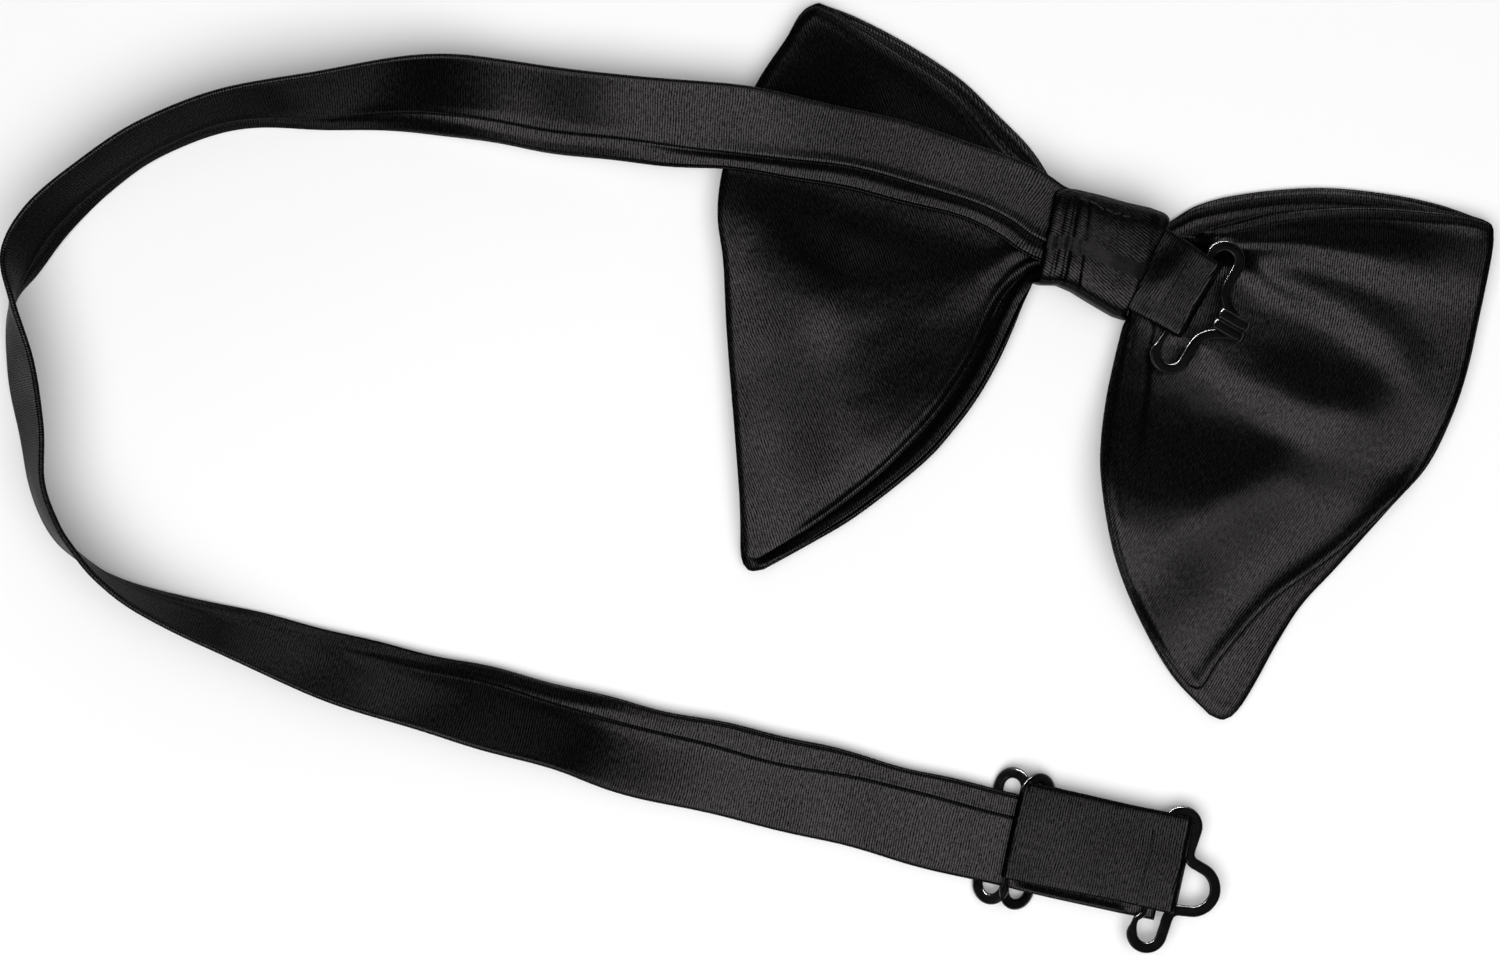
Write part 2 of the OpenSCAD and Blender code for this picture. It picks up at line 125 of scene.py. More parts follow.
def new_object(name, verts, faces, uv=None, material=None):
    """Smooth mesh object from points in millimetres; uv is one pair per vertex, in millimetres."""
    mesh = bpy.data.meshes.new(name)
    mesh.from_pydata((np.asarray(verts, float) * MM).tolist(), [], [list(map(int, f)) for f in faces])
    mesh.validate()
    if uv is not None:
        layer = mesh.uv_layers.new(name="cloth")
        index = np.zeros(len(mesh.loops), int)
        mesh.loops.foreach_get("vertex_index", index)
        layer.data.foreach_set("uv", (np.asarray(uv, float)[index]).astype(np.float32).ravel())
    mesh.shade_smooth()
    mesh.update()
    obj = bpy.data.objects.new(name, mesh)
    bpy.context.scene.collection.objects.link(obj)
    if material is not None:
        mesh.materials.append(material)
    return obj


def quads(grid, flip=False):
    """Faces between neighbouring points of a grid of vertex numbers."""
    a, b, c, d = grid[:-1, :-1], grid[1:, :-1], grid[1:, 1:], grid[:-1, 1:]
    corners = (a, d, c, b) if flip else (a, b, c, d)
    return np.stack([q.ravel() for q in corners], -1).tolist()


def tube_grid(rings, closed, start=0):
    """Vertex numbers of a tube, with the first point of each ring, and of a closed tube's rings, repeated."""
    m, n, _ = rings.shape
    grid = start + np.arange(m * n).reshape(m, n)
    grid = np.hstack([grid, grid[:, :1]])
    return np.vstack([grid, grid[:1]]) if closed else grid


def two_skins(name, upper, lower, uv, material):
    """Closed sheet from two grids of points that share their rim."""
    m, n, _ = upper.shape
    top = np.arange(m * n).reshape(m, n)
    under = top.copy()
    under[1:-1, 1:-1] = m * n + np.arange((m - 2) * (n - 2)).reshape(m - 2, n - 2)
    verts = np.vstack([upper.reshape(-1, 3), lower[1:-1, 1:-1].reshape(-1, 3)])
    uvs = np.vstack([uv.reshape(-1, 2), uv[1:-1, 1:-1].reshape(-1, 2)])
    return new_object(name, verts, quads(top) + quads(under, True), uvs, material)


def swept(name, rings, uv, material, closed_path=False, flip=False):
    """Tube from rings of points (path, section, xyz)."""
    grid = tube_grid(rings, closed_path)
    faces = quads(grid, flip)
    if not closed_path:
        faces += [grid[0, :-1].tolist(), grid[-1, :-1][::-1].tolist()]
    return new_object(name, rings.reshape(-1, 3), faces, uv.reshape(-1, 2), material)


def stand_for(obj, node, body=None):
    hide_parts(node)
    if body:
        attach(obj, body)
    return obj


# ---------------------------------------------------------------- materials


SATIN_SHINE = 0.185  # mean specular level of the cloth
SATIN_ROUGH = 0.27
RIB_SHINE = 0.85  # how much the ribs, the yarns and the grain vary it
YARN_SHINE = 5.5
GRAIN_SHINE = 3.6
CLOUD_SHINE = 0.9
STEEP_SHINE = 0.05  # least share of the sheen kept where the cloth stands upright: painted shade on upright cloth
LEAST_SHINE = 0.002
RIB_PITCH = 0.53
RIB_DRIFT = 1.6  # the ribs wander this far
FAN_CENTRE = 5.0  # fanned ribs turn back at this distance below the cloth's zero line
FAN_ROUND = 8.0
LINT_SIZE = 0.016
SATIN_COLOR = (0.0010, 0.0009, 0.0011, 1)
LINT_COLOR = (0.02, 0.019, 0.018, 1)
SATIN_TINT = (1.0, 0.94, 0.95, 1)
CANVAS_PITCH = 0.0009  # in metres, as the other procedural textures of canvas, thread and lacquer


class Nodes:
    """Short way to write a node material."""

    def __init__(self, name):
        self.material = bpy.data.materials.new(name)
        self.material.use_nodes = True
        self.tree = self.material.node_tree
        self.tree.nodes.clear()
        self.shader = self.node("ShaderNodeBsdfPrincipled")
        out = self.node("ShaderNodeOutputMaterial")
        self.link(self.shader.outputs[0], out.inputs["Surface"])

    def node(self, kind, **values):
        made = self.tree.nodes.new(kind)
        for key, value in values.items():
            setattr(made, key, value)
        return made

    def link(self, a, b):
        self.tree.links.new(a, b)

    def math(self, operation, a, b=None, c=None):
        made = self.node("ShaderNodeMath", operation=operation)
        for k, value in enumerate((a, b, c)):
            if value is None:
                continue
            if isinstance(value, (int, float)):
                made.inputs[k].default_value = value
            else:
                self.link(value, made.inputs[k])
        return made.outputs[0]

    def ramp(self, value, stops):
        made = self.node("ShaderNodeValToRGB")
        for k, (place, color) in enumerate(stops):
            if k >= 2:
                made.color_ramp.elements.new(place)
            made.color_ramp.elements[k].position = place
            made.color_ramp.elements[k].color = (*color, 1)
        self.link(value, made.inputs[0])
        return made.outputs[0]

    def mapped(self, source, rotation=0.0, scale=(1, 1, 1)):
        made = self.node("ShaderNodeMapping")
        made.inputs["Rotation"].default_value[2] = rotation
        made.inputs["Scale"].default_value = scale
        self.link(source, made.inputs["Vector"])
        return made.outputs[0]

    def stepped(self, value, zero, one):
        """Smooth step of a value from 0 at zero to 1 at one."""
        made = self.node("ShaderNodeMapRange", interpolation_type="SMOOTHSTEP")
        self.link(value, made.inputs["Value"])
        made.inputs["From Min"].default_value = zero
        made.inputs["From Max"].default_value = one
        return made.outputs["Result"]

    def split(self, source):
        made = self.node("ShaderNodeSeparateXYZ")
        self.link(source, made.inputs[0])
        return made.outputs

    def levelness(self):
        """1 where the surface faces up or down, 0 where it stands upright."""
        normal = self.node("ShaderNodeNewGeometry").outputs["Normal"]
        return self.math("ABSOLUTE", self.split(normal)["Z"])

    def bumped(self, height, strength, distance):
        bump = self.node("ShaderNodeBump")
        bump.inputs["Strength"].default_value = strength
        bump.inputs["Distance"].default_value = distance
        self.link(height, bump.inputs["Height"])
        self.link(bump.outputs[0], self.shader.inputs["Normal"])

    def noise(self, source, scale, detail=2.0, roughness=0.5):
        made = self.node("ShaderNodeTexNoise")
        made.inputs["Scale"].default_value = scale
        made.inputs["Detail"].default_value = detail
        made.inputs["Roughness"].default_value = roughness
        self.link(source, made.inputs["Vector"])
        return made.outputs["Fac"]


def satin(name, twill_angle, bend=0.0, painted_shade_gloss=1.0):
    """Black satin with a fine diagonal twill, in the cloth's own millimetres.

    bend fans the ribs out up and down, and painted_shade_gloss scales how much the cloth shines; below 1 it
    is painted shade that dims a piece of the same satin.
    """
    n = Nodes(name)
    uv = n.node("ShaderNodeUVMap", uv_map="cloth").outputs[0]
    turned = n.mapped(uv, rotation=-twill_angle)
    off = n.math("ADD", n.split(uv)["Y"], FAN_CENTRE)
    off = n.math("SQRT", n.math("MULTIPLY_ADD", off, off, FAN_ROUND**2))
    across = n.math("MULTIPLY_ADD", off, bend, n.split(turned)["Y"])
    across = n.math("MULTIPLY_ADD", n.noise(uv, 0.09, 1.0), RIB_DRIFT, across)
    rib = n.math("SINE", n.math("MULTIPLY", across, 2 * math.pi / RIB_PITCH))
    yarn = n.math("SUBTRACT", n.noise(n.mapped(turned, scale=(0.8, 2.8, 1.0)), 1.0, 3.0, 0.75), 0.5)
    grain = n.math("SUBTRACT", n.noise(uv, 2.9, 2.0, 0.8), 0.5)
    cloudy = n.math("SUBTRACT", n.noise(uv, 0.05, 2.0), 0.5)
    shine = n.math("MULTIPLY_ADD", rib, RIB_SHINE, 1.0)
    shine = n.math("MULTIPLY_ADD", yarn, YARN_SHINE, shine)
    shine = n.math("MULTIPLY_ADD", grain, GRAIN_SHINE, shine)
    shine = n.math("MULTIPLY_ADD", cloudy, CLOUD_SHINE, shine)
    facing = n.node("ShaderNodeLayerWeight")
    facing.inputs["Blend"].default_value = 0.5
    shine = n.math("MULTIPLY", shine, n.stepped(facing.outputs["Facing"], 0.95, 0.6))
    # Painted shade: the sheen is cut by the surface's tilt from level, so upright cloth shows little
    # reflection whatever the lamps.
    painted_upright_shade = n.math("MAXIMUM", n.stepped(n.levelness(), 0.35, 0.8), STEEP_SHINE)
    shine = n.math("MULTIPLY", n.math("MULTIPLY", shine, painted_upright_shade), SATIN_SHINE * painted_shade_gloss)
    n.link(n.math("MAXIMUM", shine, LEAST_SHINE), n.shader.inputs["Specular IOR Level"])
    speck = n.node("ShaderNodeTexVoronoi", feature="F1")
    speck.inputs["Scale"].default_value = 0.16
    n.link(uv, speck.inputs["Vector"])
    lint = n.math("LESS_THAN", speck.outputs["Distance"], LINT_SIZE)
    mixed = n.node("ShaderNodeMix", data_type="RGBA")
    n.link(lint, mixed.inputs["Factor"])
    mixed.inputs[6].default_value = SATIN_COLOR
    mixed.inputs[7].default_value = LINT_COLOR
    n.link(mixed.outputs[2], n.shader.inputs["Base Color"])
    n.link(n.math("MULTIPLY_ADD", yarn, 0.2, SATIN_ROUGH), n.shader.inputs["Roughness"])
    n.shader.inputs["Specular Tint"].default_value = SATIN_TINT
    n.bumped(n.math("MULTIPLY_ADD", yarn, 1.6, n.math("MULTIPLY", rib, 0.5)), 0.22, 0.00007)
    return n.material


def lacquer():
    """Glossy black lacquer on flattened wire, with painted highlights on its turned edges and painted shade
    on its level faces.
    """
    n = Nodes("black_lacquer")
    where = n.node("ShaderNodeTexCoord").outputs["Object"]
    ripple = n.noise(where, 900, 3.0, 0.6)
    worn = n.noise(where, 260, 4.0, 0.7)
    color = n.ramp(worn, [(0.45, (0.001, 0.001, 0.0012)), (0.85, (0.004, 0.004, 0.0045))])
    n.link(color, n.shader.inputs["Base Color"])
    n.link(n.math("ADD", n.math("MULTIPLY", worn, 0.14), 0.10), n.shader.inputs["Roughness"])
    # Painted highlight and shade: the shine is nearly cut on level faces and strong where the edges turn, set
    # by the tilt from level.
    rounded = n.stepped(n.levelness(), 0.97, 0.8)
    n.link(n.math("MULTIPLY_ADD", rounded, 0.9, 0.012), n.shader.inputs["Specular IOR Level"])
    n.bumped(ripple, 0.25, 0.0001)
    return n.material


def thread_material():
    """Black sewing thread: two plies wound round each other."""
    n = Nodes("black_thread")
    where = n.node("ShaderNodeTexCoord").outputs["Object"]
    ply = n.node("ShaderNodeTexWave", wave_type="BANDS", bands_direction="DIAGONAL")
    ply.inputs["Scale"].default_value = 1400
    ply.inputs["Distortion"].default_value = 2.0
    n.link(where, ply.inputs["Vector"])
    color = n.ramp(ply.outputs["Fac"], [(0.2, (0.004, 0.004, 0.0045)), (0.9, (0.016, 0.015, 0.016))])
    n.link(color, n.shader.inputs["Base Color"])
    n.shader.inputs["Roughness"].default_value = 0.55
    n.shader.inputs["Specular IOR Level"].default_value = 0.25
    n.bumped(ply.outputs["Fac"], 0.5, 0.0001)
    return n.material


def canvas_material():
    """Unbleached woven interlining."""
    n = Nodes("interlining_canvas")
    where = n.node("ShaderNodeTexCoord").outputs["Object"]
    split = n.split(where)
    warp = n.math("SINE", n.math("MULTIPLY", split["X"], 2 * math.pi / CANVAS_PITCH))
    weft = n.math("SINE", n.math("MULTIPLY", split["Y"], 2 * math.pi / CANVAS_PITCH))
    weave = n.math("MULTIPLY", warp, weft)
    tone = n.math("ADD", n.math("MULTIPLY", weave, 0.2), n.noise(where, 400, 3.0))
    color = n.ramp(tone, [(0.3, (0.48, 0.45, 0.38)), (0.8, (0.68, 0.65, 0.57))])
    n.link(color, n.shader.inputs["Base Color"])
    n.shader.inputs["Roughness"].default_value = 0.9
    n.bumped(weave, 0.5, 0.0002)
    return n.material


SATIN = {
    "right": satin("black_satin_right_wing", math.radians(90), bend=-0.25),
    "left": satin("black_satin_left_wing", math.radians(128)),
    "strap": satin("black_satin_strap", math.radians(91)),
    # The return, the tab and the knot are the same satin with less shine: painted shade.
    "return": satin("black_satin_return", math.radians(91), painted_shade_gloss=0.62),
    "tab": satin("black_satin_tab", math.radians(91), painted_shade_gloss=0.75),
    "knot": satin("black_satin_knot", math.radians(110), painted_shade_gloss=0.85),
}
LACQUER = lacquer()
THREAD = thread_material()
CANVAS = canvas_material()

# ---------------------------------------------------------------- wings

PLY = 0.5  # thickness of one satin ply
LINING_INSET = 2.8  # the interlining ends this far inside the plies
GROW = 0.7  # cloth turned round the seams stands this far outside the drawn edges

# How far a leaf's back ply is set back from its front ply, along the top and along the bottom edge.
PLY_STEPS = {("right", "front"): (1.5, 0.4), ("right", "rear"): (0.9, 0.3),
             ("left", "front"): (1.6, 1.2), ("left", "rear"): (1.0, 0.3)}

# Edges of each leaf as points: top from the knot out, bottom from the knot down, outer from the tip up to
# the top corner.
LEAVES = {
    ("right", "rear"): dict(
        top=[(0.6, 6), (10.5, 7.6), (18, 9.5), (23, 12.8), (31, 18), (39, 21.8), (50, 26), (61, 29),
             (71, 31), (78, 31)],
        bottom=[(0.6, -6), (9.5, -8), (10.2, -14), (11.2, -22), (13.8, -38), (17, -48), (23.5, -60),
                (31, -69),
                (39, -76), (47.2, -81.6)],
        outer=[(47.2, -81.6), (49.2, -81.2), (50.4, -76.5), (53, -69.5), (58.2, -58.5), (68.4, -44.2),
               (78.3, -25.8),
               (81.2, -14), (82, -2.7), (80.8, 12), (79.4, 25), (78, 31)]),
    ("right", "front"): dict(
        top=[(0.6, 6.4), (10.4, 9.4), (17, 15.8), (25, 20.6), (35, 25.2), (45, 28.6), (57, 31),
             (67, 32), (76.6, 31.8)],
        bottom=[(0.6, -6.4), (9.5, -8), (10, -14), (11, -22), (13.6, -37), (17, -47), (24, -60),
                (33, -71),
                (43.5, -80.5), (53.6, -86)],
        outer=[(53.6, -86), (56.5, -86), (58.4, -83), (60, -76.5), (61.6, -68), (64.2, -58),
               (68.8, -48), (76.2, -31.5),
               (80.6, -21.5), (82.3, -10.7), (82.5, 0), (81.4, 12), (79.8, 26), (78.4, 31),
               (76.6, 31.8)]),
    ("left", "rear"): dict(
        top=[(0.6, 6), (10.5, 7.8), (20, 10.8), (29, 16), (36, 20.6), (44, 24), (55, 27), (64, 29.4),
             (73.5, 30.8)],
        bottom=[(0.6, -6), (10, -6.8), (12.8, -8.4), (15.2, -12.6), (17, -18), (19, -29.5),
                (22.3, -41.5), (27, -52.2),
                (32.6, -62.3), (41, -74.3), (49.4, -84)],
        outer=[(49.4, -84), (51.2, -84.4), (52.6, -81.5), (54.8, -76.5), (60.6, -62.4), (69.6, -40.7),
               (75, -26.5),
               (79.2, -17.5), (81.2, -8), (81.2, 2), (79.8, 12.6), (77.3, 21.5), (75.4, 28.5),
               (73.5, 30.8)]),
    ("left", "front"): dict(
        top=[(0.6, 6.4), (10.4, 9.4), (20, 16), (30, 21.2), (40, 26), (53, 29.6), (65, 31.6), (73.4, 32)],
        bottom=[(0.6, -6.4), (10, -8.4), (11.6, -13), (12.8, -22.5), (15.1, -35.4), (18.4, -45.6),
                (22.6, -54.6),
                (32.3, -69.1), (41, -79), (47.6, -86)],
        outer=[(47.6, -86), (50.2, -87), (52.2, -84.6), (54.6, -77.6), (60.3, -62.4), (69.2, -40.7),
               (74.7, -26.5),
               (79, -17.5), (80.9, -8), (80.9, 2), (79.6, 12.6), (77.3, 21.5), (75.8, 29), (73.4, 32)]),
}

# Crests of the folds: height, reach above the crest and reach below it, each at the start and at the end,
# then points from the knot out.
FOLDS = {
    "right": [
        ((2.4, 2.6), (8.0, 11.0), (2.6, 5.0),
         [(22, 8), (34, 13.2), (46, 15.8), (61, 16.8), (77, 19.2), (84, 20)]),
        ((3.2, 0.8), (8.5, 8.0), (3.0, 3.4),
         [(24, 10), (32, 8.8), (39, 6.4), (49, 5.2), (60, 2.2), (66, 0), (71, -3)]),
        ((1.3, 3.8), (9.0, 10.5), (4.0, 8.0),
         [(31, -13), (36, -15), (43, -16.6), (58, -18), (70, -16.2), (76, -12)]),
        ((7.5, 2.2), (29.0, 6.5), (34.0, 20.0),
         [(13, -56), (26, -55), (40, -49), (56, -38.5), (76, -33.5)]),
    ],
    "left": [
        ((4.6, 5.4), (15.0, 21.0), (3.5, 4.0),
         [(16, 4), (30, 5.5), (48, 5.5), (64, 4), (82, -1)]),
        ((1.3, 5.0), (8.0, 12.0), (16.0, 15.0),
         [(22, -13), (31, -17), (40, -20), (50, -22.4), (60, -22.8), (80, -17)]),
        ((8.0, 1.2), (35.0, 9.0), (30.0, 20.0),
         [(23, -57), (34, -52), (46, -44), (58, -36), (74, -30)]),
    ],
}

# Rims that curl up or roll down: edge, height, reach, and the y below which they do so.
CURLS = {("right", "rear"): [("outer", 2.0, 4.5, -18), ("bottom", -0.4, 1.8, 0)],
         ("left", "rear"): [("bottom", -1.5, 3.0, 0)],
         ("left", "front"): [("bottom", 2.2, 2.6, 0), ("top", -0.7, 3.0, 99)],
         ("right", "front"): [("top", -0.7, 3.0, 99)]}

RIM_CALM = {"right": 0.8, "left": 0.45}  # share of a fold's height that is gone at the outer edge
LEAF_GAP = 2.0  # least height of a rear leaf's middle above the front leaf's

# Rows near a rim, in millimetres from it: close together where the turned edge is round.
RIM_ROWS = np.array([0.0, 0.06, 0.2, 0.42, 0.72, 1.1, 1.6, 2.3, 3.2])


def pushed(line, amount):
    """Polyline moved to its left by an amount, which may vary along it."""
    tangent = unit(np.gradient(line, axis=0))
    return line + np.stack([-tangent[:, 1], tangent[:, 0]], -1) * np.asarray(amount)[..., None]


def edge_curves(side, leaf, ply):
    """Top, bottom and outer edge of one ply; the back ply's top edge is set back from the front ply's."""
    edges = LEAVES[side, leaf]
    top, bottom, outer = (catmull(edges[k]) for k in ("top", "bottom", "outer"))
    top_step, bottom_step = PLY_STEPS[side, leaf] if ply == "back_ply" else (0.0, 0.0)

    def window(line):
        share = np.linspace(0, 1, len(line))
        return smooth(0.12, 0.35, share) * (1 - smooth(0.8, 1.0, share))

    clear = smooth(10, 24, top[:, 0])
    top = pushed(top, GROW * clear - top_step * window(top))
    bottom = pushed(bottom, -GROW * smooth(-12, -30, bottom[:, 1]) + bottom_step * window(bottom))
    outer = pushed(outer, -GROW)
    outer[0], outer[-1] = bottom[-1], top[-1]
    return top, bottom, outer


def leaf_plan(side, leaf, ply, along=72, across=88):
    """Grid of plan points over a leaf, by blending its four edges."""
    top, bottom, outer = edge_curves(side, leaf, ply)
    root_low, root_high = bottom[0], top[0]
    inset = LINING_INSET if ply == "interlining" else 0.0
    rows = inset + RIM_ROWS
    reach = 0.5 * (length_of(top) + length_of(bottom))
    end = 1 - rows[::-1] / reach
    t = np.r_[np.linspace(0, end[0], along - len(end) + 1), end[1:]]
    high, low = at_shares(top, t), at_shares(bottom, t)
    width = np.linalg.norm(high - low, axis=1)
    inner = np.linspace(0, 1, across - 2 * len(rows) + 2)[1:-1]
    s = []
    for w in width:
        first = rows / w * min(1.0, 0.3 * w / rows[-1])
        last = 1 - first[::-1]
        s.append(np.r_[first, first[-1] + (last[0] - first[-1]) * inner, last])
    s = np.array(s)
    tt = t[:, None, None]
    ss = s[..., None]
    near = root_low * (1 - ss) + root_high * ss
    far = np.stack([at_shares(outer, row) for row in s])
    edge_part = low[:, None] * (1 - ss) + high[:, None] * ss
    end_part = near * (1 - tt) + far * tt
    corner_part = near * (1 - tt) + (bottom[-1] * (1 - ss) + top[-1] * ss) * tt
    plan = edge_part + end_part - corner_part
    rim = np.vstack([top, outer[::-1], bottom[::-1]])
    distance = np.maximum(to_polyline(plan, rim)[0] - inset, 0)
    distance[0, :] = distance[1, :]
    distance[:, 0] = distance[:, -1] = 0
    distance[-1, :] = 0
    return plan, distance, s


def fold_height(plan, side):
    x, y = plan[..., 0], plan[..., 1]
    total = 0
    for height, above, below, points in FOLDS[side]:
        line = catmull(points, 6)
        away, share = to_polyline(plan, line)
        over = y > np.interp(x, line[:, 0], line[:, 1])
        first, last = np.where(over, above[0], below[0]), np.where(over, above[1], below[1])
        reach = first + (last - first) * share
        total = total + (height[0] + (height[1] - height[0]) * share) * np.exp(-((away / reach) ** 2))
    return total


def curl_height(plan, side, leaf):
    total = 0
    for edge, height, reach, limit in CURLS[side, leaf]:
        away, _ = to_polyline(plan, catmull(LEAVES[side, leaf][edge]))
        total = total + height * np.exp(-away / reach) * smooth(limit, limit - 14, plan[..., 1])
    return total


def leaf_middle(plan, s, side, leaf):
    """Height of a leaf's middle surface."""
    x, y = plan[..., 0], plan[..., 1]
    out = np.hypot(np.maximum(x - 10, 0), y * 0.6)
    knot_rise = np.exp(-out / 11)
    gathers = 0.4 * np.exp(-out / 9) * np.sin(2 * math.pi * 3.5 * s)
    lying = 1.15 + 0.5 * knot_rise
    front = lying + 0.6 + 0.35 * gathers + 0.12 * waves(x, y, 3, 26)
    if leaf == "front":
        return front + curl_height(plan, side, leaf)
    rim = 1 - smooth(0, 26, to_polyline(plan, catmull(LEAVES[side, "rear"]["outer"]))[0])
    lift = 2.35 + 1.2 * (1 - rim) * (1 - 0.6 * knot_rise)
    near_knot = 0.35 + 0.65 * (1 - knot_rise)
    folded = lying + lift + fold_height(plan, side) * near_knot * (1 - RIM_CALM[side] * rim)
    folded = folded + gathers + 0.16 * waves(x, y, 11, 24) + 0.05 * waves(x, y, 12, 8)
    under = front + curl_height(plan, side, "front")
    return np.logaddexp(folded + curl_height(plan, side, leaf), under + LEAF_GAP)


def skin_heights(middle, distance, ply):
    """Upper and lower height of one ply of a leaf: its rim is round, and the plies close up there."""
    half = PLY / 2 * np.sqrt(1 - (1 - np.clip(distance / 0.5, 0, 1)) ** 2)
    pressed = 1 - smooth(0, 2.0, distance)
    roll = 0.28 * np.exp(-(((distance - 1.5) / 1.0) ** 2))
    if ply == "back_ply":
        centre = middle + 0.55 - 0.26 * pressed + roll
    elif ply == "front_ply":
        centre = middle - 0.55 + 0.26 * pressed - roll
    else:
        centre, half = middle, 0.22 * (1 - pressed)
    return centre + half, centre - half


def make_leaf(side, leaf):
    sign = 1 if side == "right" else -1
    for ply in ("back_ply", "interlining", "front_ply"):
        plan, distance, s = leaf_plan(side, leaf, ply)
        middle = leaf_middle(plan, s, side, leaf)
        high, low = skin_heights(middle, distance, ply)
        place = np.dstack([plan[..., 0] * sign, plan[..., 1]])[:, ::sign]
        upper, lower = (np.dstack([place, z[:, ::sign]]) for z in (high, low))
        canvas = ply == "interlining"
        node = f"{side}_{leaf}_leaf_{ply}"
        material = CANVAS if canvas else SATIN[side]
        made = two_skins(f"{side}_{leaf}_{ply}_cloth", upper, lower, place, material)
        stand_for(made, node, "bow")


for side_name in ("right", "left"):
    for leaf_name in ("front", "rear"):
        make_leaf(side_name, leaf_name)

# ---------------------------------------------------------------- neck strap

# Stations from inside the knot round to the eye: x, y, z of the middle, tilt in degrees, width.
STATIONS = [
    (-7, 2.2, 10.15, 0, 16.5), (-13.2, 2.4, 10.2, 1, 16.8), (-20, 4.2, 10.3, 3, 16.6),
    (-30, 5.2, 10.5, 3, 16.4),
    (-48, 5.1, 10.5, 3, 17.0), (-70, 2.7, 10.0, 5, 17.6), (-90, -1, 8.9, 12, 18.5),
    (-111, -5.4, 7.5, 27, 19.4),
    (-131, -8.9, 6.4, 27, 19.8), (-149, -13.3, 7.4, 42, 20), (-168, -20.9, 9.4, 61, 20),
    (-186, -28.9, 9.9, 71, 20),
    (-199, -39.5, 10.1, 74, 20), (-208, -50.7, 10.1, 74, 20), (-214.6, -62.6, 10, 70, 20),
    (-217.3, -73, 10.3, 76, 20),
    (-216.2, -82, 10.7, 101, 20), (-210.5, -94, 10.1, 115, 20), (-204.3, -106, 10, 113, 20),
    (-199.3, -117, 10.2, 107, 20), (-193, -124.5, 10.3, 105, 20), (-186.5, -128.5, 10.4, 99, 20),
    (-179, -131.5, 10.5, 90, 20), (-169, -133.3, 10.3, 79, 20), (-152, -133.8, 9.7, 66, 20),
    (-132, -134.1, 8.6, 51, 20), (-101, -133.4, 6.9, 32, 19.2), (-78, -132.1, 5.3, 21, 18.7),
    (-61, -131.4, 3.6, 7, 19.4),
]
END_ANGLE = math.radians(5.5)
END = np.array([21.7, -124.2, 0.0])  # slider's middle bar, on the floor
END_DIR = np.array([math.cos(END_ANGLE), math.sin(END_ANGLE), 0.0])
END_SIDE = np.array([-END_DIR[1], END_DIR[0], 0.0])
EYE_RUN = 34.9  # slider's middle bar to the middle of the end fold
STRAP_Z = 2.6
UNDER_EYE_DROP = 0.4  # the under layer sinks this far to leave the eye's bar room to turn
BAR_R = 0.65  # round bars of the eye and the hook


def on_end(x, y=0.0, z=0.0):
    """Point given along the strap's straight end, across it, and above the floor."""
    x, y, z = (np.asarray(v, float)[..., None] for v in (x, y, z))
    return END + x * END_DIR + y * END_SIDE + z * np.array([0, 0, 1.0])


def strap_line():
    straight = []
    for x in (-48, -34, -20, -6, 8, 20, EYE_RUN - 2.0):
        y, drop = -1.2 * float(smooth(-48, 10, x)), UNDER_EYE_DROP * float(smooth(16, 28, x))
        straight.append((*on_end(x, y, STRAP_Z - drop), 0, 20))
    line = catmull(STATIONS + straight, 14)
    return at_shares(line, np.linspace(0, 1, 520))


def strap_frames(line):
    """Middle, direction towards the outer edge, and direction out of the seam face."""
    middle = line[:, :3]
    along = unit(np.gradient(middle, axis=0))
    tilt = np.radians(line[:, 3])[:, None]
    flat_out = unit(np.stack([along[:, 1], -along[:, 0], 0 * along[:, 0]], -1))
    out = flat_out * np.cos(tilt) + np.array([0, 0, 1.0]) * np.sin(tilt)
    w = unit(out - along * (out * along).sum(1, keepdims=True))
    return middle, w, np.cross(w, along)


def strap_profile(t, seam, count=15):
    """Outline of the folded strap: share of the half width, and height. It has a lap and round edges."""
    turn = np.linspace(90, -90, 9)[1:-1]
    edge = 0.075
    right = [(1 - edge + edge * math.cos(math.radians(a)), t * math.sin(math.radians(a))) for a in turn]
    left = [(-x, y) for x, y in right[::-1]]
    lap = [(seam + 0.22, t * 1.04), (seam + 0.1, t * 1.26), (seam + 0.035, t * 1.28),
           (seam + 0.008, t * 1.02), (seam, t * 0.5), (seam - 0.02, t * 0.34),
           (seam - 0.06, t * 0.56), (seam - 0.14, t * 0.86)]
    top = [(x, t) for x in np.linspace(1 - edge, seam + 0.3, count)]
    tail = [(x, t) for x in np.linspace(seam - 0.2, edge - 1, 6)]
    under = [(x, -t) for x in np.linspace(edge - 1, 1 - edge, count + 6)]
    return np.array(top + lap + tail + left + under[:-1] + [(1 - edge, -t)] + right[::-1])


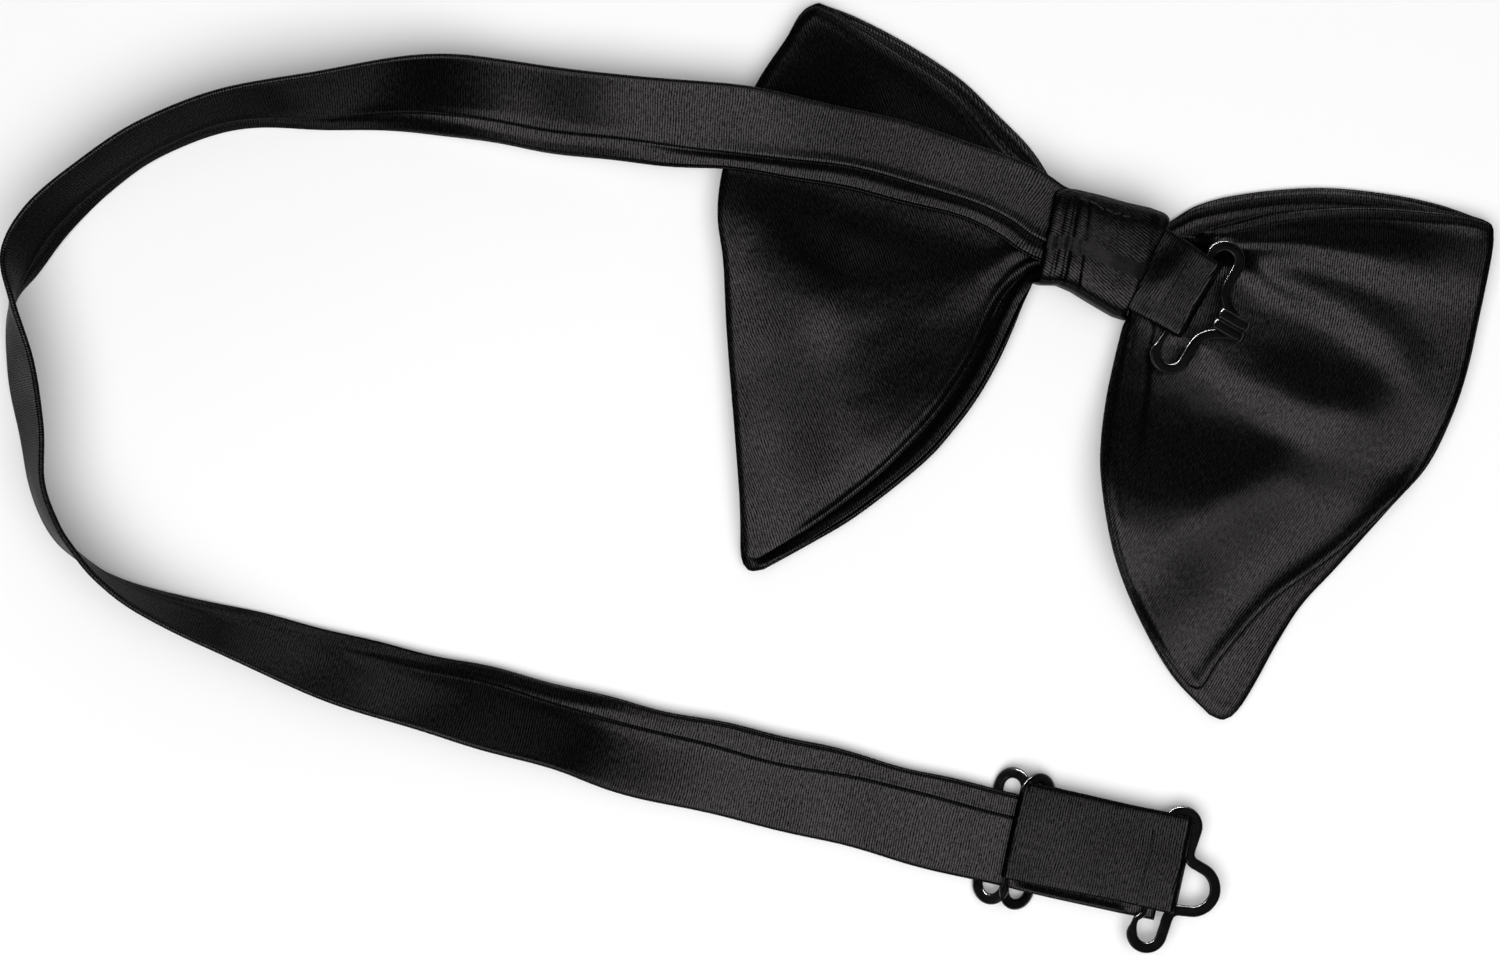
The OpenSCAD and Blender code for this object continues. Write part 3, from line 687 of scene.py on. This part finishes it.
def build_strap():
    line = strap_line()
    middle, w, n = strap_frames(line)
    step = np.r_[0, np.cumsum(np.linalg.norm(np.diff(middle, axis=0), axis=1))]
    outline = strap_profile(0.66, -0.5)
    half = line[:, 4:5] / 2
    seam_drift = 0.05 * np.sin(step / 17) + 0.04 * np.sin(step / 7.3 + 1)
    flat_end = smooth(0, 26, step)[:, None] * (1 - smooth(step[-1] - 60, step[-1] - 20, step))[:, None]
    left_wave = (0.32 * np.sin(step / 9.5) + 0.22 * np.sin(step / 4.1 + 2))[:, None] * flat_end
    right_wave = (0.30 * np.sin(step / 11.3 + 1) + 0.2 * np.sin(step / 5.2))[:, None] * flat_end
    share = outline[:, 0][None, :]
    drift = seam_drift[:, None] * np.exp(-(((share + 0.5) / 0.3) ** 2)) * flat_end
    across = (share + drift) * half + np.where(share > 0, right_wave * share, -left_wave * share)
    ripple = 0.30 * waves(step[:, None], across * 1.4, 5, 46) + 0.12 * waves(step[:, None], across, 6, 17)
    ripple = ripple * flat_end * (1 - 0.6 * share**2)
    height = outline[:, 1][None, :] + ripple
    under_return = (smooth(-33, -28, step - step[-1]) * smooth(-5, -8, step - step[-1]))[:, None]
    height = height + 0.4 * np.maximum(across - 8.0, 0) * under_return
    skin = middle[:, None] + across[..., None] * w[:, None] + height[..., None] * n[:, None]
    inner_height = np.clip(outline[:, 1], -0.36, 0.36)[None, :] * 0.9 + ripple
    inner = (middle[:, None] + (across * (1 - 0.45 / half))[..., None] * w[:, None]
             + inner_height[..., None] * n[:, None])
    rings = np.concatenate([skin, inner[::-1]])
    lengths = np.r_[step, step[::-1]]
    around = np.r_[0, np.cumsum(np.linalg.norm(np.diff(outline * [10, 1], axis=0), axis=1))]
    shape = rings.shape[:2]
    uv = np.dstack([np.broadcast_to(lengths[:, None], shape), np.broadcast_to(around, shape)])
    cover = swept("neck_strap_satin", rings, uv, SATIN["strap"], closed_path=True)
    stand_for(cover, "neck_strap_cover")
    core_height = np.where(outline[:, 1] > 0, 0.2, -0.2)[None, :] + ripple
    core = (middle[:, None] + (across * (1 - 0.9 / half))[..., None] * w[:, None]
            + core_height[..., None] * n[:, None])
    lining = swept("neck_strap_canvas", core[3:-3], uv[3:-3][: len(core) - 6], CANVAS)
    stand_for(lining, "neck_strap_interlining")
    for obj in (cover, lining):
        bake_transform(obj)


build_strap()

# ---------------------------------------------------------------- return layer, tab and their folds


def cloth_strip(path, thickness, skew, wave, seed, pillow=0.0):
    """Strip of cloth along a path of (x, z) in an upright plane; skew is (shift, half width) per point."""
    path = np.asarray(path, float)
    tangent = unit(np.gradient(path, axis=0))
    normal = np.stack([-tangent[:, 1], tangent[:, 0]], -1)
    step = np.r_[0, np.cumsum(np.linalg.norm(np.diff(path, axis=0), axis=1))]
    y = np.cos(np.linspace(0, math.pi, 34))
    edge = np.minimum(1, np.sqrt(np.clip(1 - np.abs(y) ** 26, 0, 1)))
    loop_y = np.r_[y, y[-2:0:-1]]
    loop_n = np.r_[edge, -edge[-2:0:-1]] * thickness / 2
    yy = skew[:, :1] + skew[:, 1:] * loop_y[None, :]
    puff = 1 + pillow * (1 - loop_y[None, :] ** 2)
    nn = loop_n[None, :] * puff + wave * waves(step[:, None], yy, seed, 11)
    xx = path[:, :1] + normal[:, :1] * nn
    zz = path[:, 1:] + normal[:, 1:] * nn
    uv = np.dstack([np.broadcast_to(step[:, None], yy.shape), yy])
    return xx, yy, zz, uv, step


def half_turn(centre_x, centre_z, radius, start, end, count=17):
    a = np.radians(np.linspace(start, end, count))
    return [(centre_x + radius * math.cos(v), centre_z + radius * math.sin(v)) for v in a]


RETURN_T = 1.15
EYE_R = BAR_R + 0.15 + RETURN_T / 2  # middle of the layer turned over the eye's bar
EYE_Z = STRAP_Z - 0.6 + BAR_R + 0.15 + 1.2
MID_Z = 4.7
SLIDER_WRAP_T = 0.6


def build_return():
    top_z = EYE_Z + EYE_R
    wrap_r = 0.65 + SLIDER_WRAP_T / 2
    path = half_turn(EYE_RUN, EYE_Z, EYE_R, -90, 90, 21)
    path += [(x, top_z) for x in np.linspace(EYE_RUN - 1.5, 6.0, 24)]
    path += [(4.0, top_z - 0.02), (2.2, MID_Z + wrap_r + 0.1)]
    path += half_turn(0, MID_Z, wrap_r, 80, 262, 15)
    path += [(x, MID_Z - wrap_r) for x in np.linspace(1.2, 7.3, 7)]
    path = np.array(path)
    x = path[:, 0]
    skew = np.stack([1.5 + 0.3 * smooth(0, EYE_RUN, x), 10.5 + 0.12 * np.sin(x / 5)], -1)
    xx, yy, zz, uv, step = cloth_strip(path, RETURN_T, skew, 0.10, 21)
    thin = np.interp(step, [step[44], step[50]], [1.0, SLIDER_WRAP_T / RETURN_T])[:, None]
    zz = path[:, 1:] + (zz - path[:, 1:]) * thin
    xx = path[:, :1] + (xx - path[:, :1]) * thin
    crease = 0.22 * np.exp(-(((xx - 17.5 - 0.12 * yy) / 0.7) ** 2)) * smooth(top_z, top_z + 0.3, zz)
    zz = zz - crease - 0.05 * yy * smooth(EYE_Z, top_z, zz)
    rings = on_end(xx, yy, zz)
    made = swept("strap_return_satin", rings, uv, SATIN["return"])
    stand_for(made, "strap_return")
    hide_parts("slider_fold")
    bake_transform(made)


build_return()

TAB_ANGLE = math.radians(-12)
TAB = np.array([10.9, -0.9, 10.35])
TAB_DIR = np.array([math.cos(TAB_ANGLE), math.sin(TAB_ANGLE), 0.0])
TAB_SIDE = np.array([-TAB_DIR[1], TAB_DIR[0], 0.0])
TAB_T = 1.0
TAB_BAR = 9.65  # hook's bar, which lies inside the tab's end fold
TAB_FOLD = 11.4
TAB_R = BAR_R + 0.15 + TAB_T / 2


def on_tab(x, y=0.0, z=0.0):
    x, y, z = (np.asarray(v, float)[..., None] for v in (x, y, z))
    return TAB + x * TAB_DIR + y * TAB_SIDE + z * np.array([0, 0, 1.0])


def build_tab():
    path = [(-3.0, -0.55), (-1.5, -0.56), (0.0, -0.6), (1.6, -0.8), (3.2, -1.18), (4.6, -TAB_R)]
    path += [(x, -TAB_R) for x in np.linspace(5.3, TAB_FOLD - 0.7, 6)]
    path += half_turn(TAB_FOLD, 0, TAB_R, -90, 90, 19)
    path += [(x, -z) for x, z in path[:12][::-1]]
    path = np.array(path)
    x = path[:, 0]
    wide = 9.4 - 0.45 * smooth(0, TAB_FOLD, x)
    skew = np.stack([0.25 - 0.25 * smooth(0, TAB_FOLD, x), wide], -1)
    xx, yy, zz, uv, step = cloth_strip(path, TAB_T, skew, 0.12, 31, 0.12)
    top = smooth(0.2, 1.0, zz)
    zz = zz + top * (0.35 * np.exp(-(((xx - 2.5) / 2.5) ** 2)) * np.cos(yy / 2.6) * smooth(-2, 1.0, xx))
    made = swept("tab_satin", on_tab(xx, yy, zz), uv, SATIN["tab"])
    stand_for(made, "tab_strap")
    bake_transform(made)


build_tab()

# ---------------------------------------------------------------- knot

KNOT_TOP = [(0.0, 9.9), (0.08, 10.6), (0.17, 11.0), (0.4, 11.4), (0.63, 11.6), (0.85, 12.1), (1.0, 12.0)]
KNOT_BOTTOM = [(0.0, -10.7), (0.1, -10.6), (0.25, -9.6), (0.4, -9.9), (0.6, -11.0), (0.85, -12.2),
               (1.0, -12.2)]
KNOT_LOW = 0.0
KNOT_HIGH = 13.4
WRAP_T = 1.1


def knot_section(u, v, inset):
    """Point of the knot's surface: u from left to right edge, v round it in turns from the back's middle."""
    a = 2 * math.pi * v
    top = np.interp(u, *zip(*KNOT_TOP)) - inset
    low = np.interp(u, *zip(*KNOT_BOTTOM)) + inset
    power = 2 / 4.6
    c, s = np.cos(a), np.sin(a)
    z_half = (KNOT_HIGH - KNOT_LOW) / 2 - inset
    y = (top + low) / 2 + (top - low) / 2 * np.sign(s) * np.abs(s) ** power
    z = (KNOT_HIGH + KNOT_LOW) / 2 + z_half * np.sign(c) * np.abs(c) ** power
    back = smooth(-0.2, 0.7, c)
    left = -12.2 - 0.13 * y * back
    right = 10.4 + 0.13 * np.clip(y, -14, 11) * back - 0.3 * (1 - back)
    return left + (right - left) * u, y, z, back


def knot_folds(x, y, back):
    """Raised folds on the knot's back: two narrow ones along its left edge, then the wrap's lapped flap."""
    d = x + 12.2 + 0.13 * y
    first = 0.55 * np.sqrt(np.clip(1 - ((d - 1.35) / 1.55) ** 2, 0, 1))
    second = 0.75 * np.sqrt(np.clip(1 - ((d - 3.9) / 1.25) ** 2, 0, 1))
    level = smooth(5.9, 6.6, d)
    panel = 0.95 * np.sqrt(np.clip((d - 5.0) / 1.1, 0, 1)) * (1 - level) + 0.95 * level
    flap = 0.28 * smooth(8.0, 8.5, d + 0.05 * y) - 0.3 * np.exp(-(((d + 0.05 * y - 8.0) / 0.35) ** 2))
    puff = 0.35 * np.exp(-(((d - 15) / 6) ** 2)) + 0.10 * waves(x, y, 41, 7)
    right = -0.5 * smooth(20.5, 23.5, d)
    return back * (np.where(d < 2.9, first, np.where(d < 5.05, second, panel)) + flap + puff + right - 0.75)


def build_knot():
    across = 64
    rim = np.array([0, 0.004, 0.012, 0.026, 0.045])
    u = np.r_[rim, np.linspace(0.065, 0.935, across - 10), 1 - rim[::-1]]
    v = np.linspace(0, 1, 120, endpoint=False)
    uu, vv = np.meshgrid(u, v, indexing="ij")
    near = np.minimum(uu, 1 - uu) / 0.045
    round_rim = np.sqrt(np.clip(1 - (1 - np.clip(near, 0, 1)) ** 2, 0, 1))
    skins = []
    for inset in (WRAP_T / 2 * (1 - round_rim), WRAP_T / 2 * (1 + round_rim)):
        x, y, z, back = knot_section(uu, vv, inset)
        lift = knot_folds(x, y, back)
        front = 1 - smooth(-0.4, 0.6, z / 6)
        z = z + lift * np.where(inset > WRAP_T / 2, 0.6, 1.0)
        z = z + front * 0.35 * (1 - np.exp(-((np.abs(uu - 0.5) / 0.42) ** 6)))
        skins.append(np.dstack([x, y, z]))
    rings = np.concatenate([skins[0], skins[1][::-1][1:-1]])
    loop = np.r_[0, np.cumsum(np.linalg.norm(np.diff(skins[0][30], axis=0), axis=1))]
    uv_one = np.dstack([np.broadcast_to(loop, uu.shape), skins[0][..., 0]])
    uv = np.concatenate([uv_one, uv_one[::-1][1:-1]])
    wrap = swept("knot_wrap_satin", rings, uv, SATIN["knot"], closed_path=True, flip=True)
    stand_for(wrap, "knot_wrap", "bow")
    x, y, z, back = knot_section(uu[8:-8], vv[8:-8], WRAP_T + 0.25)
    outer = np.dstack([x, y, z - 0.5 * back])
    x, y, z, back = knot_section(uu[8:-8], vv[8:-8], WRAP_T + 0.65)
    inner = np.dstack([x, y, z - 0.5 * back])
    rings = np.concatenate([outer, inner[::-1]])
    uv = np.zeros(rings.shape[:2] + (2,))
    lining = swept("knot_canvas", rings, uv, CANVAS, closed_path=True, flip=True)
    stand_for(lining, "knot_interlining", "bow")


build_knot()


def round_thread(points, radius, closed=False):
    """Thread along points, in millimetres."""
    p = np.asarray(points, float)
    along = unit(np.gradient(p, axis=0))
    if closed:
        along = unit(np.roll(p, -1, 0) - np.roll(p, 1, 0))
    side = unit(np.cross(along, np.array([0.1, 0.2, 1.0])))
    up = np.cross(side, along)
    a = np.linspace(0, 2 * math.pi, 10, endpoint=False)
    c, s = np.cos(a)[None, :, None], np.sin(a)[None, :, None]
    return p[:, None] + radius * (c * side[:, None] + s * up[:, None])


def joined(name, groups, node, body, material):
    """One object from several swept runs of rings; groups are (rings, closed)."""
    verts, faces, start = [], [], 0
    for rings, closed in groups:
        grid = tube_grid(rings, closed, start)
        faces += quads(grid)
        if not closed:
            faces += [grid[0, :-1].tolist(), grid[-1, :-1][::-1].tolist()]
        verts.append(rings.reshape(-1, 3))
        start += rings.shape[0] * rings.shape[1]
    made = new_object(name, np.vstack(verts), faces, None, material)
    return stand_for(made, node, body)


def stitch_rings(middle, direction, length, radius=0.22, lift=0.12):
    """Short stitch: a thread that dips into the cloth at both ends."""
    t = np.linspace(-1, 1, 9)
    d = unit(direction)
    points = np.asarray(middle, float) + t[:, None] * d * length / 2
    points[:, 2] += lift * (1 - t**4) - lift
    return round_thread(points, radius)


def waist_loops():
    groups = []
    for k, x in enumerate((-0.95, -0.32, 0.3, 0.9)):
        a = np.linspace(0, 2 * math.pi, 72, endpoint=False)
        c, s = np.cos(a), np.sin(a)
        y = 8.2 * np.sign(s) * np.abs(s) ** 0.45
        z = 5.25 + 3.35 * np.sign(c) * np.abs(c) ** 0.45
        drift = x + 0.12 * np.sin(a * 2 + k)
        groups.append((round_thread(np.stack([drift, y, z], -1), 0.28, True), True))
    return groups


def knot_stitch_groups():
    rng = np.random.default_rng(8)
    groups = []
    for k in range(6):
        x = -6.9 + 1.9 * k + rng.uniform(-0.3, 0.3)
        y = 8.6 + rng.uniform(-0.5, 0.4)
        turn = rng.uniform(-0.5, 0.7)
        groups.append((stitch_rings((x, y, 13.9), (math.cos(turn), math.sin(turn), 0), 1.5), False))
    return groups


def cross_stitches(place, xs, ys, z, length):
    groups = []
    for y in ys:
        middle = place(xs, y, z)
        ahead = place(xs + 1.0, y, z) - middle
        groups.append((stitch_rings(middle, np.cross(ahead, (0, 0, 1.0)), length), False))
    return groups


joined("waist_thread_loops", waist_loops(), "waist_thread", "bow", THREAD)
joined("knot_hand_stitches", knot_stitch_groups(), "knot_stitches", "bow", THREAD)
joined("tab_thread", cross_stitches(on_tab, 6.2, np.arange(-7.2, 7.3, 1.8), 2.05, 1.3),
       "tab_stitches", "tab", THREAD)
joined("return_thread", cross_stitches(on_end, 28.5, np.arange(-8.2, 8.6, 1.7), 6.12, 1.25),
       "strap_return_stitches", "band", THREAD)
joined("slider_thread", cross_stitches(on_end, 3.4, np.arange(-7.5, 7.6, 2.5), 4.2, 1.6),
       "slider_fold_stitches", "slider", THREAD)

# ---------------------------------------------------------------- hardware of flattened wire

WIRE_W = 2.4
WIRE_T = 1.2
HOOK_BAR_HALF = 11.4
EYE_BAR_HALF = 12.0
LOBE_R = 3.2


def wire_rings(path, normal_up, half_w, half_t, closed, count=18):
    """Rings of flattened wire with rounded edges: half_w in the bend's own plane, half_t out of it."""
    p = np.asarray(path, float)
    along = unit(np.roll(p, -1, 0) - np.roll(p, 1, 0)) if closed else unit(np.gradient(p, axis=0))
    up = np.broadcast_to(np.asarray(normal_up, float), p.shape)
    up = unit(up - along * (up * along).sum(1, keepdims=True))
    side = np.cross(up, along)
    a = np.linspace(0, 2 * math.pi, count, endpoint=False)
    c, s = np.cos(a), np.sin(a)
    flat = 2 / 2.8
    cc, ss = np.sign(c) * np.abs(c) ** flat, np.sign(s) * np.abs(s) ** flat
    half_w = np.broadcast_to(half_w, len(p))[:, None, None]
    half_t = np.broadcast_to(half_t, len(p))[:, None, None]
    wide = half_w * cc[None, :, None] * side[:, None]
    return p[:, None] + wide + half_t * ss[None, :, None] * up[:, None]


def arc(cx, cy, r, start, end, count=17):
    a = np.radians(np.linspace(start, end, count))
    return np.stack([cx + r * np.cos(a), cy + r * np.sin(a)], -1)


def lobe_and_bar(bar_half, inner_y):
    """Bar with a lobe at each end, from the lower lobe's inner end round to the upper lobe's."""
    low = arc(LOBE_R, -bar_half, LOBE_R, 0, -180)
    high = arc(LOBE_R, bar_half, LOBE_R, 180, 0)
    bar = np.stack([np.zeros(31), np.linspace(-bar_half, bar_half, 33)[1:-1]], -1)
    ends = np.linspace(0, 1, 8)[:-1, None]
    inner = np.array([[2 * LOBE_R, -inner_y]]) * (1 - ends) + np.array([[2 * LOBE_R, -bar_half]]) * ends
    return np.vstack([inner, low, bar, high, inner[::-1] * [1, -1]])


def wire_widths(path, bar_half):
    """Half width and half thickness along the wire: flattened, but round where the bar runs."""
    bar = 1 - smooth(0.1, 0.9, np.abs(path[:, 0]))
    bar = bar * (1 - smooth(bar_half - 1.5, bar_half + 1.2, np.abs(path[:, 1])))
    return WIRE_W / 2 + (BAR_R - WIRE_W / 2) * bar, WIRE_T / 2 + (BAR_R - WIRE_T / 2) * bar


def build_eye():
    part = lobe_and_bar(EYE_BAR_HALF, 9.2)
    upper = [(6.4, 9.2), (6.4, 7.8), (6.7, 6.4), (7.8, 5.4), (9.6, 4.95), (11.8, 4.3), (13.6, 2.6),
             (14.4, 0)]
    ring = catmull(upper + [(x, -y) for x, y in upper[-2::-1]], 6)[1:]
    flat = np.vstack([part, ring[:-1]])
    half_w, half_t = wire_widths(flat, EYE_BAR_HALF)
    c, s = math.cos(EYE_TURN), math.sin(EYE_TURN)
    along, side = flat[:, 0] * c - flat[:, 1] * s, flat[:, 0] * s + flat[:, 1] * c
    in_fold = (1 - smooth(8.8, 10.6, np.abs(flat[:, 1] - 0.5))) * (1 - smooth(0.1, 0.9, flat[:, 0]))
    path = on_end(EYE_BAR + along + (EYE_PIVOT - EYE_BAR) * in_fold, EYE_SHIFT + side, EYE_Z + 0 * along)
    joined("eye_wire", [(wire_rings(path, (0, 0, 1), half_w, half_t, True), True)], "eye", "eye", LACQUER)


def build_hook():
    """One wire: down the tongue's one side, round both lobes and the bar, back along its other side."""
    reach, bend, back = 13.0, 1.35, 5.5
    side = WIRE_W / 2 + 0.05
    part = lobe_and_bar(HOOK_BAR_HALF, 8.4)
    flat_low = catmull([(6.4, -8.4), (6.5, -7.0), (6.9, -5.5), (7.8, -4.2), (9.0, -3.2), (10.4, -2.4),
                        (11.8, -1.6), (reach, -side)], 6)[1:]
    flat_high = flat_low * [1, -1]

    def tongue(end):
        level = [(*p, 0.0) for p in end]
        round_end = [(reach + bend * math.sin(a), end[-1][1], bend - bend * math.cos(a))
                     for a in np.radians(np.linspace(15, 180, 12))]
        tail = [(reach - x, end[-1][1], 2 * bend) for x in np.linspace(0.8, back, 7)]
        return np.array(level + round_end + tail)

    low, high = tongue(flat_low), tongue(flat_high)
    middle = np.column_stack([part, np.zeros(len(part))])
    flat = np.vstack([low[::-1], middle, high])
    half_w, half_t = wire_widths(flat, HOOK_BAR_HALF)
    path = on_tab(TAB_BAR + flat[:, 0], HOOK_SHIFT + flat[:, 1], flat[:, 2])
    ups = np.zeros_like(flat)
    for k in range(len(flat)):
        angle = 0.0
        if flat[k, 0] > reach and flat[k, 2] > 0:
            angle = math.pi - math.acos(np.clip((flat[k, 2] - bend) / bend, -1, 1))
        elif flat[k, 2] > bend:
            angle = math.pi
        ups[k] = TAB_DIR * -math.sin(angle) + np.array([0, 0, 1.0]) * math.cos(angle)
    joined("hook_wire", [(wire_rings(path, ups, half_w, half_t, False), False)], "hook", "hook", LACQUER)


def build_slider():
    """Two sloping ovals that share a raised middle bar."""
    low_z, outer_x, half_len = 1.3, 5.6, SLIDER_LEN / 2 - WIRE_W / 2
    groups = []
    for k in (-1, 1):
        slope = math.hypot(outer_x, MID_Z - low_z)
        r = slope / 2
        flat = np.vstack([arc(r, half_len - r, r, 180, 0, 19), arc(r, r - half_len, r, 0, -180, 19)])
        flat = at_shares(np.vstack([flat, flat[:1]]), np.linspace(0, 1, 120, endpoint=False))
        x, z = flat[:, 0] * outer_x / slope, MID_Z - flat[:, 0] * (MID_Z - low_z) / slope
        bar = smooth(0.7, 0.05, flat[:, 0])
        bar = bar * smooth(half_len - r + 0.6, half_len - r - 1.0, np.abs(flat[:, 1]))
        half_w = WIRE_W / 2 + (0.6 - WIRE_W / 2) * bar
        half_t = 0.58 + 0.02 * bar
        path = on_end(k * x, SLIDER_SHIFT + flat[:, 1], z)
        up = END_DIR * (k * (MID_Z - low_z) / slope) + np.array([0, 0, 1.0]) * (outer_x / slope)
        groups.append((wire_rings(path, up, half_w, half_t, True), True))
    joined("slider_wire", groups, "slider", "slider", LACQUER)


EYE_BAR = 29.9
EYE_PIVOT = 31.2
EYE_SHIFT = -1.7
EYE_TURN = math.radians(-6)
HOOK_SHIFT = -1.5
SLIDER_LEN = 30
SLIDER_SHIFT = -0.5
build_eye()
build_hook()
build_slider()

# ---------------------------------------------------------------- floor, light and camera

CENTRE = Vector((-0.056, -0.0687, 0.008))
TURN = math.radians(18)  # the bow is turned this far clockwise in the picture
VIEW_WIDTH = 0.3191
KEY_POWER = 15.5
RIM_POWER = 0.6
STRIP_POWER = 34
WASH_POWER = 10
BACK_POWER = 4
DOME = 0.03
FLOOR_HALF = 4.0
FLOOR_COLOR = (0.86, 0.86, 0.86, 1)
LENS, SENSOR = 90, 36


def add_floor():
    mesh = bpy.data.meshes.new("floor")
    s = FLOOR_HALF
    mesh.from_pydata([(-s, -s, 0), (s, -s, 0), (s, s, 0), (-s, s, 0)], [], [(0, 1, 2, 3)])
    floor = bpy.data.objects.new("floor", mesh)
    bpy.context.scene.collection.objects.link(floor)
    n = Nodes("pale_floor")
    n.shader.inputs["Base Color"].default_value = FLOOR_COLOR
    n.shader.inputs["Roughness"].default_value = 0.9
    n.shader.inputs["Specular IOR Level"].default_value = 0.1
    mesh.materials.append(n.material)


def add_area(name, place, size, power, shape_y=None):
    data = bpy.data.lights.new(name, "AREA")
    data.shape = "RECTANGLE"
    data.size = size
    data.size_y = shape_y or size
    data.energy = power
    light = bpy.data.objects.new(name, data)
    light.location = CENTRE + Vector(place)
    light.rotation_euler = (-Vector(place)).to_track_quat("-Z", "Y").to_euler()
    bpy.context.scene.collection.objects.link(light)
    return light


def in_view(right, up, height):
    """Place given along the picture's right, its up and towards the camera."""
    c, s = math.cos(TURN), math.sin(TURN)
    return (right * c - up * s, right * s + up * c, height)


def add_camera():
    data = bpy.data.cameras.new("camera")
    data.lens = LENS
    data.sensor_width = SENSOR
    camera = bpy.data.objects.new("camera", data)
    camera.location = CENTRE + Vector((0, 0, VIEW_WIDTH * data.lens / data.sensor_width))
    camera.rotation_euler = (0, 0, TURN)
    data.clip_start = 0.01
    bpy.context.scene.collection.objects.link(camera)
    bpy.context.scene.camera = camera


add_floor()
add_camera()
add_area("key", in_view(0.0, -0.36, 1.05), 1.6, KEY_POWER, 1.0)
add_area("rim", in_view(0.55, 0.9, 0.9), 0.5, RIM_POWER)
add_area("back", in_view(0.0, 1.6, 0.45), 2.2, BACK_POWER, 0.5)
strip = add_area("strip", in_view(-0.2, 0.85, 0.6), 1.2, STRIP_POWER, 0.05)
metal = bpy.data.collections.new("lit_by_strip")
for piece in ("eye_wire", "hook_wire", "slider_wire"):
    metal.objects.link(bpy.data.objects[piece])
strip.light_linking.receiver_collection = metal
wash = add_area("wash", in_view(0.0, 0.0, 1.5), 2.0, WASH_POWER)
ground = bpy.data.collections.new("lit_by_wash")
ground.objects.link(bpy.data.objects["floor"])
wash.light_linking.receiver_collection = ground
world = bpy.data.worlds.new("studio")
bpy.context.scene.world = world
world.use_nodes = True
world.node_tree.nodes["Background"].inputs[0].default_value = (1, 1, 1, 1)
world.node_tree.nodes["Background"].inputs[1].default_value = DOME
bpy.context.scene.view_settings.view_transform = "Standard"
